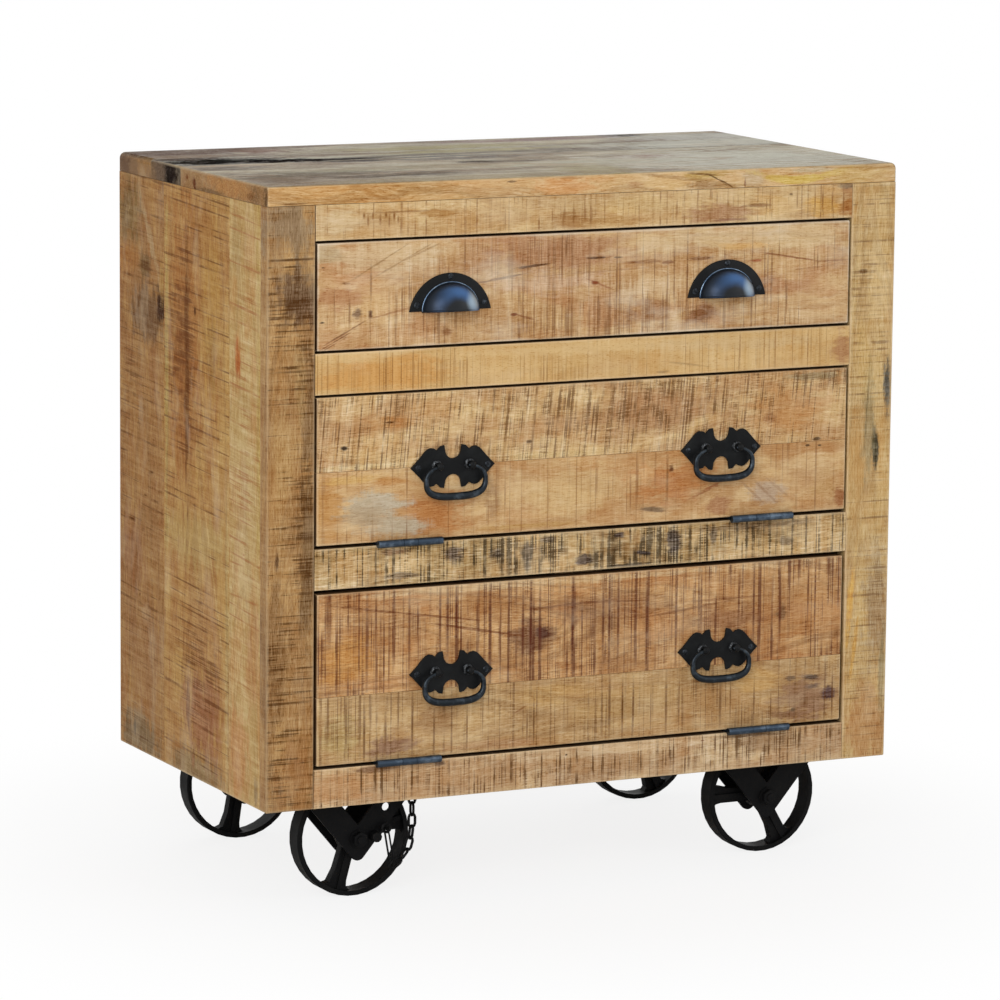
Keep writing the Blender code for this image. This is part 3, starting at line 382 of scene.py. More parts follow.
    # each mark is strong in places and faint in others
    run = addNoise(tree, tilted, (0.4 / wood["sawSpacing"], 1 / wood["sawRun"], 9), 2.0)["Fac"]
    run = addRange(tree, run, *grain["runCut"], 0.0, wood["sawStrength"])
    saw = addMath(tree, "MULTIPLY", lines, run)
    for along, across, halfWide, halfTall, strength in wood["strokes"]:
        near = ovalAway(tree, place, along - offMiddle[0], across - offMiddle[1], halfWide, halfTall)
        near = addMath(tree, "MULTIPLY_ADD", fibre, grain["strokeRagged"], near)
        there = addRange(tree, near, *grain["strokeCut"], strength, 0.0)
        saw = addMath(tree, "MAXIMUM", saw, there)
    saw = addMath(tree, "MULTIPLY", saw, onFace)

    colour = addMix(tree, pale, wood["base"], wood["light"])
    colour = addMix(tree, warm, colour, wood["warm"])
    # painted sheen: the broad face greyed toward its own colours, as light glancing off the wax would
    if wood["paintedSheenColours"]:
        amount = addMath(tree, "MULTIPLY", onFace, wood["paintedSheenShare"])
        colour = addMix(tree, amount, colour, addMix(tree, pale, *wood["paintedSheenColours"]))
    # end grain drinks more wax and turns darker
    colour = addMix(tree, addMath(tree, "MULTIPLY", onEnd, grain["endWax"]), colour, wood["endColour"])
    # stains and odd coloured patches, their edges broken up by the grain and the saw marks
    ragged = addNoise(tree, log, grain["ragged"], 4.0, 0.7)["Fac"]
    ragged = addMath(tree, "MULTIPLY_ADD", ragged, *grain["raggedSwing"])
    ragged = addMath(tree, "MULTIPLY_ADD", comb, grain["stainRagged"], ragged)
    parts = addNode(tree, "SeparateXYZ", {0: place}).outputs
    sides = [("stains", place, 0, 1, None)]
    if wood["edgeStains"] or wood["endStains"]:
        onSide = [addNode(tree, "CombineXYZ", {"X": parts[way], "Y": parts["Z"]}).outputs[0] for way in "XY"]
        sides = [("stains", place, 0, 1, onFace), ("edgeStains", onSide[0], 0, 2, onEdge),
                 ("endStains", onSide[1], 1, 2, onEnd)]
    for key, spot, first, second, mask in sides:
        for along, across, halfLong, halfWide, tint, strength, *lean in wood[key]:
            near = ovalAway(tree, spot, along - offMiddle[first], across - offMiddle[second], halfLong,
                            halfWide, *lean)
            near = addMath(tree, "ADD", near, ragged)
            there = addRange(tree, near, *grain["stainCut"], strength, 0.0, "SMOOTHSTEP")
            if mask:
                there = addMath(tree, "MULTIPLY", there, mask)
            colour = addMix(tree, there, colour, tint)
    colour = addMix(tree, addMath(tree, "MULTIPLY", rings, wood["ringStrength"]), colour, wood["dark"])
    colour = addNode(tree, "Gamma", {"Color": colour, "Gamma": shade}).outputs[0]
    colour = addMix(tree, saw, colour, wood["sawColour"])
    for near, tint in cores:
        near = addMath(tree, "MULTIPLY_ADD", ragged, grain["knotRagged"], near)
        there = addRange(tree, near, *grain["knotCut"], grain["knotDarkness"], 0.0, "SMOOTHSTEP")
        colour = addMix(tree, there, colour, tint)

    # edges painted pale, partly rubbed wear and partly a painted highlight where light catches them: a point
    # near two faces at once is on an edge
    outer = whole or (low, high)
    half = [abs((outer[1] - outer[0]).dot(axis)) / 2 for axis in axes]
    shift = [((outer[0] + outer[1]) / 2 - middle).dot(axis) for axis in axes]
    edgeFalloff = 1 / wood["wearAndHighlightWidth"]
    inside = addVector(tree, "ABSOLUTE", addVector(tree, "SUBTRACT", place, shift))
    inside = addVector(tree, "SUBTRACT", inside, half)
    inside = addVector(tree, "MULTIPLY_ADD", inside, (edgeFalloff, edgeFalloff, edgeFalloff), (1, 1, 1))
    inside = addVector(tree, "MAXIMUM", inside, (0, 0, 0))
    edge = addVector(tree, "DOT_PRODUCT", inside, (1, 1, 1))
    uneven = addMath(tree, "MULTIPLY_ADD", patchParts["Blue"], *grain["wearAndHighlightSwing"])
    edge = addMath(tree, "ADD", edge, uneven, use_clamp=True)
    edge = addMath(tree, "MULTIPLY", edge, wood["wearAndHighlightStrength"])
    colour = addMix(tree, edge, colour, wood["paleColour"])
    if wood["gapShadeColour"]:
        # painted shade: the narrow faces in the gaps are painted dark, where shade falls
        amount = addMath(tree, "MAXIMUM", onEdge, onEnd)
        amount = addRange(tree, amount, 0.7, 1.0, 0.0, grain["gapShadeDepth"])
        colour = addMix(tree, amount, colour, wood["gapShadeColour"])
    tree.links.new(colour, shader.inputs["Base Color"])

    smoothest, roughest = [wood["roughness"] + more for more in grain["roughSwing"]]
    roughness = addRange(tree, comb, 0.3, 0.7, smoothest, roughest)
    tree.links.new(roughness, shader.inputs["Roughness"])
    # dark open grain takes no polish
    glow = addNode(tree, "RGBToBW", {"Color": colour}).outputs[0]
    gloss = addRange(tree, glow, *grain["glossCut"], 0.0, wood["gloss"])
    tree.links.new(gloss, shader.inputs["Specular IOR Level"])
    height = addMath(tree, "MULTIPLY_ADD", shade, -grain["grainDepth"], 1.0)
    height = addMath(tree, "MULTIPLY_ADD", saw, -grain["sawDepth"], height)
    addBump(tree, shader, height, 0.5, grain["bump"])
    return material


def finishPiece(shape, name, material, body, slot, *nodes, smooth=False):
    for face in shape.faces:
        face.smooth = face.smooth or smooth
    mesh = bpy.data.meshes.new(name)
    shape.to_mesh(mesh)
    shape.free()
    mesh.materials.append(material)
    piece = bpy.data.objects.new(name, mesh)
    bpy.context.scene.collection.objects.link(piece)
    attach(piece, body)
    if nodes:
        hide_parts(*nodes)
    return piece


def corners(node):
    low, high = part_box(node)
    return Vector(low), Vector(high)


def easeEdges(shape, edges, offset, segments, clamp=True):
    made = bmesh.ops.bevel(shape, geom=edges, offset=offset, offset_type="OFFSET", segments=segments,
                           profile=0.5, affect="EDGES", material=-1, clamp_overlap=clamp)
    return made["faces"]


def sliceShape(shape, at, facing, isCleared=True):
    # cuts along a plane, and clears what lies beyond it
    bmesh.ops.bisect_plane(shape, geom=shape.verts[:] + shape.edges[:] + shape.faces[:], plane_co=at,
                           plane_no=facing, clear_outer=isCleared)


def isSlabShoulder(edge):
    # the slab's top edge is well rounded at its right end, and at the back of its left end
    low, high = corners("top_slab")
    near, far = edge.verts[0].co, edge.verts[1].co
    isOnTop = min(near.z, far.z) > high.z - 0.0001
    isAcross = abs(near.x - far.x) < 0.0001
    return isOnTop and isAcross and (near.x > 0 or min(near.y, far.y) > high.y - slabSeams[1] - 0.001)


def plank(name, low, high, ease, material, body, slot, node, tight):
    # tight: (axis, place) of each face that meets a neighbour, where the edges are nearly sharp
    shape = bmesh.new()
    bmesh.ops.create_cube(shape, size=1)
    bmesh.ops.scale(shape, vec=high - low, verts=shape.verts)
    bmesh.ops.translate(shape, vec=(low + high) / 2, verts=shape.verts)
    rounded = [edge for edge in shape.edges if slot == "slab_wood" and isSlabShoulder(edge)]
    if rounded:
        for face in easeEdges(shape, rounded, edgeEase["slabShoulder"], 5):
            face.smooth = True
    for isTight, offset, segments in ((False, ease, 3), (True, edgeEase["joint"], 1)):
        picked = []
        for edge in shape.edges:
            isMeeting = any(all(abs(v.co[axis] - at) < 0.00001 for v in edge.verts) for axis, at in tight)
            if isMeeting == isTight and edge.calc_face_angle() > 0.5:
                picked.append(edge)
        if picked:
            for face in easeEdges(shape, picked, offset, segments):
                face.smooth = segments > 1
    return finishPiece(shape, name, material, body, slot, node)


def cutIntoPlanks(node, axis, seams, ease, body, slot, lay, looks, meets=()):
    # the planks of one CAD board, from its low side to its high side; meets: the (axis, 0 or 1) of its
    # low or high faces that butt against another board
    low, high = corners(node)
    outer = [low.copy(), high.copy()]
    for way, isHigh in meets:
        outer[isHigh][way] += 0.02 if isHigh else -0.02
    stops = [low[axis], *seams, high[axis]]
    for i, look in enumerate(looks):
        near, far = low.copy(), high.copy()
        near[axis] = stops[i] + (seamGap if i else 0)
        far[axis] = stops[i + 1] - (seamGap if i < len(looks) - 1 else 0)
        name = node if len(looks) == 1 else node + "_plank_" + str(i + 1)
        material = boardWood(name + "_wood", near, far, lay, whole=outer, **look)
        tight = [(way, (low, high)[isHigh][way]) for way, isHigh in meets]
        tight += [(axis, near[axis])] if i else []
        tight += [(axis, far[axis])] if i < len(looks) - 1 else []
        plank(name + "_board", near, far, ease, material, body, slot, node, tight)


seamGap = 0.0001
edgeEase = {"slab": 0.0025, "slabShoulder": 0.007, "frame": 0.0014, "flap": 0.0022, "joint": 0.0003}
# painted shade for the narrow faces in the gaps of rails, drawer and flaps
gapShadeLook = {"gapShadeColour": "3d2a1b"}
# where the glued seams lie, counted in from the back
slabSeams = (0.1885, 0.100)
sideSeams = (0.331, 0.138)

# Top slab: straight glued planks, the middle one streaked black, all waxed to a dull sheen, their broad faces
# painted grey as painted sheen
slabWax = {"sawCover": -0.5, "comb": 0.05, "patchSize": 0.16, "roughness": 0.5, "gloss": 0.12}
slabLooks = [
    {"base": "c29b66", "light": "d6b98c", "warm": "c28e52", "dark": "8f6636", "fibre": 0.28,
     "ringStrength": 0.45, "endColour": "7d5426", "paintedSheenColours": ("5f5238", "aba68e"),
     "stains": (
         (-0.3, -0.1, 0.14, 0.05, "4f3c18", 0.8), (-0.36, -0.16, 0.05, 0.06, "5a4018", 0.75),
         (-0.21, -0.131, 0.13, 0.022, "43351a", 0.9), (-0.054, -0.026, 0.035, 0.014, "231910", 0.95),
         (0.02, -0.036, 0.045, 0.014, "43351f", 0.9), (0.165, -0.036, 0.06, 0.026, "7d4232", 0.85),
         # the pale grey patch toward the right end is painted sheen
         (0.27, -0.1, 0.24, 0.12, "c0bdaa", 0.85), (-0.12, -0.19, 0.24, 0.03, "7d6c34", 0.75),
         (-0.36, 0.004, 0.055, 0.03, "2e241a", 0.9), (-0.19, 0.034, 0.06, 0.014, "1c1b1c", 0.92),
         (-0.06, 0.022, 0.1, 0.018, "4a453a", 0.85), (0.02, -0.08, 0.14, 0.03, "a29e82", 0.6),
         (0.03, -0.15, 0.05, 0.06, "8a7a34", 0.7), (-0.16, -0.06, 0.16, 0.026, "857a50", 0.7),
         (0.1, -0.19, 0.03, 0.02, "6b5a44", 0.7)),
     "edgeStains": (
         (-0.365, 0.807, 0.015, 0.0014, "6b4a2c", 0.7), (-0.3, 0.8085, 0.05, 0.003, "ab7c48", 0.5),
         (-0.1, 0.8225, 0.006, 0.0012, "5f4024", 0.8), (-0.03, 0.815, 0.05, 0.016, "c88f56", 0.7),
         (0.055, 0.812, 0.012, 0.006, "ab7c50", 0.6), (0.1, 0.815, 0.03, 0.014, "cfab74", 0.6),
         (0.15, 0.8205, 0.03, 0.006, "b0904c", 0.7), (0.145, 0.809, 0.024, 0.005, "93704a", 0.7),
         (0.16, 0.8175, 0.013, 0.0012, "5f4226", 0.9, -0.5, -8),
         (0.172, 0.812, 0.014, 0.0012, "67462a", 0.9, -0.5, -8),
         (0.145, 0.8222, 0.02, 0.0012, "7a5a34", 0.8, -0.1), (0.199, 0.8095, 0.0014, 0.006, "7a4226", 0.85),
         (0.212, 0.816, 0.014, 0.012, "c2ab8a", 0.7), (0.28, 0.8225, 0.04, 0.004, "c2b090", 0.85),
         (0.272, 0.812, 0.064, 0.005, "cfb25e", 0.85, 0, 2.6), (0.35, 0.816, 0.04, 0.014, "c8a86c", 0.7)),
     "endStains": (
         (-0.214, 0.815, 0.02, 0.02, "4f361e", 0.8), (-0.17, 0.815, 0.02, 0.014, "5f4022", 0.6),
         (-0.1, 0.817, 0.08, 0.014, "b07c42", 0.8), (-0.04, 0.8065, 0.05, 0.003, "5f4426", 0.7),
         (0.002, 0.812, 0.006, 0.008, "5c2608", 0.95), (0.022, 0.8165, 0.006, 0.006, "6b300e", 0.9),
         (0.033, 0.812, 0.01, 0.01, "8a5c30", 0.6), (-0.16, 0.812, 0.012, 0.004, "7a4e22", 0.8))},
    {"base": "8a7152", "light": "a68f6b", "warm": "8d6f45", "dark": "4b3827", "endColour": "2c211d",
     "paintedSheenColours": ("62553c", "a9a288"),
     "stains": (
         (-0.34, 0.076, 0.12, 0.044, "0f0e0f", 0.97), (-0.24, 0.06, 0.11, 0.02, "151416", 0.96),
         (-0.37, 0.122, 0.06, 0.016, "3a2008", 0.9), (-0.04, 0.076, 0.12, 0.014, "5a4a2c", 0.85),
         (0.15, 0.083, 0.06, 0.012, "5f4a2e", 0.8), (-0.05, 0.05, 0.1, 0.008, "3b372f", 0.8),
         # the pale grey patch toward the right end is painted sheen
         (-0.02, 0.104, 0.16, 0.018, "8f8236", 0.8), (0.32, 0.09, 0.17, 0.05, "bdbaa8", 0.8),
         (0.05, 0.126, 0.12, 0.01, "8f886a", 0.6), (-0.18, 0.11, 0.1, 0.018, "6b4e26", 0.8)),
     "endStains": (
         (0.07, 0.816, 0.034, 0.03, "1d1718", 0.9), (0.108, 0.816, 0.022, 0.02, "6b5440", 0.8),
         (0.125, 0.812, 0.01, 0.014, "7d5f3e", 0.7))},
    {"base": "937757", "light": "ab9271", "warm": "94754a", "dark": "5b4732", "endColour": "7a5836",
     "paintedSheenColours": ("695438", "ada488"),
     "stains": (
         (-0.32, 0.2, 0.16, 0.05, "52321a", 0.9), (-0.24, 0.185, 0.04, 0.03, "6b3f1c", 0.85),
         (-0.36, 0.15, 0.06, 0.016, "6e4e22", 0.8), (-0.02, 0.15, 0.16, 0.03, "8f8236", 0.75),
         (0.259, 0.212, 0.035, 0.022, "1f1612", 0.95), (0.12, 0.2, 0.13, 0.02, "6e4440", 0.8),
         # the pale grey patch toward the right end is painted sheen
         (0.35, 0.17, 0.12, 0.05, "b8b5a8", 0.75)),
     "endStains": ((0.155, 0.816, 0.024, 0.012, "9c7444", 0.7), (0.215, 0.815, 0.02, 0.02, "5f4432", 0.7))},
]
low, high = corners("top_slab")
cutIntoPlanks("top_slab", 1, [high.y - across for across in slabSeams], edgeEase["slab"], "carcass",
              "slab_wood", "top", [{**slabWax, **look} for look in slabLooks], meets=[(2, 0)])

# Frame: stiles run up, rails run across
frameLooks = {
    "stile_left": ("stile", {
        "base": "9b7344", "light": "b08955", "warm": "96652c", "dark": "5d4128", "fibre": 0.2, "comb": 0.16,
        "sawColour": "4a2b0c", "sawStrength": 0.8, "sawCover": 0.45, "sawRun": 0.02, "sawSpacing": 0.0040,
        "sawRagged": 0.3, "paleColour": "b39a76", "endColour": "6b4a2c",
        "stains": (
            (0.16, -0.365, 0.05, 0.03, "9b6a38", 0.6), (0.3, -0.39, 0.08, 0.02, "7a5630", 0.6),
            (0.405, -0.388, 0.012, 0.003, "4a2d1a", 0.8), (0.42, -0.35, 0.1, 0.012, "5c4126", 0.7),
            (0.56, -0.35, 0.07, 0.012, "6b4d2f", 0.7), (0.705, -0.36, 0.035, 0.035, "5b4332", 0.8),
            (0.78, -0.372, 0.035, 0.035, "8f7656", 0.85), (0.53, -0.38, 0.07, 0.014, "b08c58", 0.6),
            (0.6, -0.36, 0.05, 0.01, "a68452", 0.6), (0.25, -0.36, 0.05, 0.02, "a37a48", 0.5)),
        "strokes": (
            (0.745, -0.37, 0.0016, 0.05, 0.9), (0.695, -0.375, 0.0012, 0.03, 0.7),
            (0.245, -0.375, 0.0014, 0.03, 0.8), (0.255, -0.38, 0.001, 0.02, 0.8),
            (0.62, -0.36, 0.0014, 0.03, 0.6), (0.493, -0.355, 0.0012, 0.02, 0.8),
            (0.455, -0.355, 0.0012, 0.02, 0.8)),
        "sawPatches": (
            (0.17, -0.385, 0.07, 0.03, 0.5), (0.44, -0.352, 0.1, 0.02, 0.8), (0.62, -0.352, 0.05, 0.02, 0.6),
            (0.705, -0.37, 0.04, 0.04, 0.7), (0.78, -0.37, 0.03, 0.04, -0.8), (0.3, -0.38, 0.06, 0.03, 0.3),
            (0.52, -0.39, 0.1, 0.02, -0.4))}),
    "stile_right": ("stile", {
        "base": "b99764", "light": "cbad78", "warm": "be8e4c", "dark": "8a6a42", "fibre": 0.2, "comb": 0.2,
        "sawColour": "6b461e", "sawCover": 0.25, "sawRun": 0.016, "sawSpacing": 0.0040,
        "sawRagged": 0.3, "endColour": "8a6a44",
        "stains": (
            (0.15, 0.375, 0.06, 0.03, "ad7a48", 0.7), (0.31, 0.349, 0.05, 0.005, "cf9a35", 0.9, 0.08),
            (0.26, 0.357, 0.04, 0.003, "c69440", 0.7, 0.12), (0.3, 0.385, 0.08, 0.02, "9c8466", 0.6),
            (0.49, 0.379, 0.028, 0.0055, "39372c", 0.95), (0.565, 0.394, 0.034, 0.006, "4d4d48", 0.92),
            (0.52, 0.37, 0.07, 0.01, "8a7c5a", 0.6), (0.54, 0.367, 0.06, 0.0015, "7a6844", 0.6, 0.05),
            (0.701, 0.359, 0.003, 0.006, "5d3d20", 0.9), (0.71, 0.38, 0.08, 0.016, "d2b480", 0.7),
            (0.22, 0.395, 0.05, 0.006, "75704f", 0.5), (0.6, 0.36, 0.05, 0.012, "c6a468", 0.6)),
        "sawPatches": ((0.2, 0.38, 0.06, 0.03, 0.5), (0.32, 0.385, 0.06, 0.02, 0.6),
                       (0.7, 0.36, 0.03, 0.02, 0.6), (0.61, 0.385, 0.02, 0.008, 0.8),
                       (0.45, 0.355, 0.08, 0.02, -0.6))}),
    "top_rail": ("front", {
        "base": "bf9c6c", "light": "d4b888", "warm": "bf935a", "dark": "9d774a", "fibre": 0.2,
        "sawColour": "80501c", "sawStrength": 0.65, "sawRun": 0.02, "sawRagged": 0.2,
        "stains": (
            (-0.315, 0.785, 0.04, 0.016, "d3bb93", 0.7), (-0.26, 0.787, 0.024, 0.01, "b08a58", 0.7),
            (-0.235, 0.7935, 0.05, 0.0011, "8a6238", 0.6), (0.31, 0.785, 0.025, 0.02, "bf8f4a", 0.7),
            (-0.19, 0.79, 0.022, 0.005, "a5773c", 0.8), (-0.155, 0.776, 0.014, 0.01, "b08348", 0.7),
            (-0.02, 0.776, 0.025, 0.01, "a0713c", 0.8), (0.05, 0.79, 0.05, 0.01, "d2b37c", 0.6),
            (0.03, 0.772, 0.05, 0.006, "a87c40", 0.6), (0.165, 0.776, 0.05, 0.012, "a37550", 0.8),
            (0.24, 0.785, 0.03, 0.02, "c79c5c", 0.5), (0.18, 0.7685, 0.03, 0.002, "8a5f48", 0.8),
            (0.215, 0.7835, 0.02, 0.002, "7d5430", 0.7), (0.26, 0.795, 0.003, 0.0018, "4a2f1c", 0.85),
            (0.3, 0.78, 0.03, 0.01, "c99a4c", 0.7), (0.337, 0.78, 0.014, 0.024, "9d6428", 0.95),
            (0.335, 0.802, 0.014, 0.003, "4d3622", 0.85)),
        "strokes": (
            (-0.283, 0.791, 0.0016, 0.004, 0.9), (-0.278, 0.785, 0.0012, 0.007, 0.9),
            (-0.272, 0.79, 0.0012, 0.004, 0.9), (-0.263, 0.786, 0.0014, 0.006, 0.9),
            (-0.256, 0.791, 0.0016, 0.004, 0.95), (-0.252, 0.784, 0.0012, 0.008, 0.9),
            (-0.246, 0.789, 0.0014, 0.006, 0.95), (-0.241, 0.785, 0.0012, 0.004, 0.8),
            (0.292, 0.785, 0.001, 0.016, 0.7), (0.302, 0.787, 0.0012, 0.014, 0.8),
            (0.315, 0.785, 0.001, 0.016, 0.8), (0.33, 0.785, 0.0012, 0.02, 0.8),
            (-0.108, 0.78, 0.0009, 0.012, 0.8), (0.2325, 0.786, 0.0011, 0.014, 0.7),
            (-0.035, 0.777, 0.0009, 0.01, 0.8), (0.228, 0.782, 0.0007, 0.01, 0.7)),
        "sawPatches": ((-0.02, 0.778, 0.05, 0.02, 0.7), (0.16, 0.785, 0.06, 0.02, 0.4),
                       (-0.31, 0.785, 0.04, 0.03, -0.6))}),
    "upper_rail": ("front", {
        "base": "c6a169", "light": "d0ae78", "warm": "c48f4c", "warmth": 0.3, "dark": "a9804e", "fibre": 0.06,
        "comb": 0.12, "ringStrength": 0.1, "sawColour": "8f6026", "sawCover": 0.3,
        "sawRun": 0.3, "sawSpacing": 0.0040, "sawRagged": 0.02,
        "stains": (
            (-0.26, 0.612, 0.1, 0.02, "c8914a", 0.7), (0.02, 0.628, 0.16, 0.007, "d0b07c", 0.8),
            (0.2, 0.624, 0.12, 0.01, "c9aa7a", 0.7), (0.332, 0.612, 0.016, 0.02, "a5754c", 0.85),
            (0.095, 0.596, 0.012, 0.002, "7d6038", 0.6), (0.13, 0.603, 0.03, 0.0012, "a08050", 0.6, -0.15)),
        "strokes": (
            (-0.255, 0.612, 0.0012, 0.03, 0.9), (-0.263, 0.614, 0.0008, 0.03, 0.8),
            (-0.247, 0.614, 0.0008, 0.03, 0.8), (-0.192, 0.612, 0.0009, 0.03, 0.8),
            (-0.236, 0.612, 0.0008, 0.03, 0.8), (0.196, 0.616, 0.0009, 0.025, 0.8),
            (0.286, 0.612, 0.0009, 0.025, 0.8), (0.228, 0.616, 0.0008, 0.025, 0.7)),
        "sawPatches": ((-0.24, 0.61, 0.12, 0.03, 0.7), (0.0, 0.60, 0.12, 0.012, 0.5),
                       (0.0, 0.63, 0.3, 0.008, -0.5), (0.22, 0.612, 0.02, 0.02, 0.5))}),
    "lower_rail": ("front", {
        "base": "ae8f5e", "light": "d2b280", "warm": "a07442", "dark": "5f4428", "fibre": 0.34, "comb": 0.26,
        "sawColour": "2b2116", "sawStrength": 0.82, "sawCover": 0.85, "sawRun": 0.03, "sawRagged": 0.5,
        "stains": (
            (-0.3, 0.395, 0.04, 0.02, "c09a66", 0.7), (-0.245, 0.409, 0.02, 0.004, "6b3f22", 0.7),
            (-0.235, 0.381, 0.03, 0.004, "6e5a44", 0.8), (-0.17, 0.4, 0.014, 0.01, "4d4240", 0.75),
            (-0.115, 0.397, 0.012, 0.008, "544843", 0.75), (-0.076, 0.393, 0.007, 0.02, "3f3736", 0.8),
            (-0.05, 0.41, 0.012, 0.006, "574a44", 0.7), (-0.004, 0.383, 0.01, 0.008, "38323a", 0.85),
            (0.041, 0.409, 0.009, 0.004, "40363a", 0.85), (0.075, 0.386, 0.013, 0.003, "3a3236", 0.9, -0.2),
            (0.05, 0.373, 0.03, 0.0025, "35302f", 0.85), (0.112, 0.395, 0.01, 0.02, "3d3438", 0.85),
            (0.165, 0.397, 0.006, 0.014, "4d4038", 0.7), (0.262, 0.388, 0.012, 0.008, "5d4a38", 0.7),
            (0.22, 0.409, 0.1, 0.004, "74593a", 0.7), (0.31, 0.395, 0.02, 0.02, "caa672", 0.8),
            (-0.31, 0.375, 0.03, 0.004, "d6bb8e", 0.8)),
        "sawPatches": ((0.06, 0.39, 0.14, 0.03, 0.5), (-0.31, 0.395, 0.04, 0.03, -0.3),
                       (0.31, 0.395, 0.03, 0.03, -0.4), (-0.08, 0.395, 0.05, 0.03, 0.4))}),
    "bottom_rail": ("front", {
        "base": "b8956e", "light": "d0b38a", "warm": "b5844e", "dark": "8b6a48", "fibre": 0.2, "comb": 0.18,
        "sawColour": "5d3c1a", "sawStrength": 0.88, "sawCover": 0.6, "sawRun": 0.03, "sawSpacing": 0.0042,
        "sawRagged": 0.3,
        "stains": (
            (-0.31, 0.143, 0.04, 0.02, "bd8a56", 0.7), (-0.27, 0.16, 0.03, 0.004, "6e4a30", 0.75),
            (-0.16, 0.143, 0.1, 0.02, "b3885a", 0.5), (-0.185, 0.16, 0.008, 0.004, "5f4a40", 0.75),
            (0.06, 0.156, 0.14, 0.006, "d2b58e", 0.8), (0.24, 0.15, 0.05, 0.012, "93704c", 0.6),
            (0.21, 0.16, 0.05, 0.003, "5f452e", 0.75), (0.155, 0.1585, 0.003, 0.0012, "7a4a28", 0.9),
            (-0.023, 0.1565, 0.002, 0.0012, "3f2c20", 0.9)),
        "sawPatches": ((0.24, 0.15, 0.07, 0.03, 0.5), (-0.32, 0.14, 0.025, 0.03, -0.4),
                       (0.06, 0.158, 0.14, 0.008, -0.6), (0.06, 0.135, 0.14, 0.014, 0.3))}),
}
for node, (lay, look) in frameLooks.items():
    meets = [(2, 1)] if node in ("stile_left", "stile_right", "top_rail") else []
    if lay == "front":
        look = {**look, **gapShadeLook}
        meets += [(0, 0), (0, 1)]
    cutIntoPlanks(node, 2, [], edgeEase["frame"], "carcass", "frame_wood", lay, [look], meets)

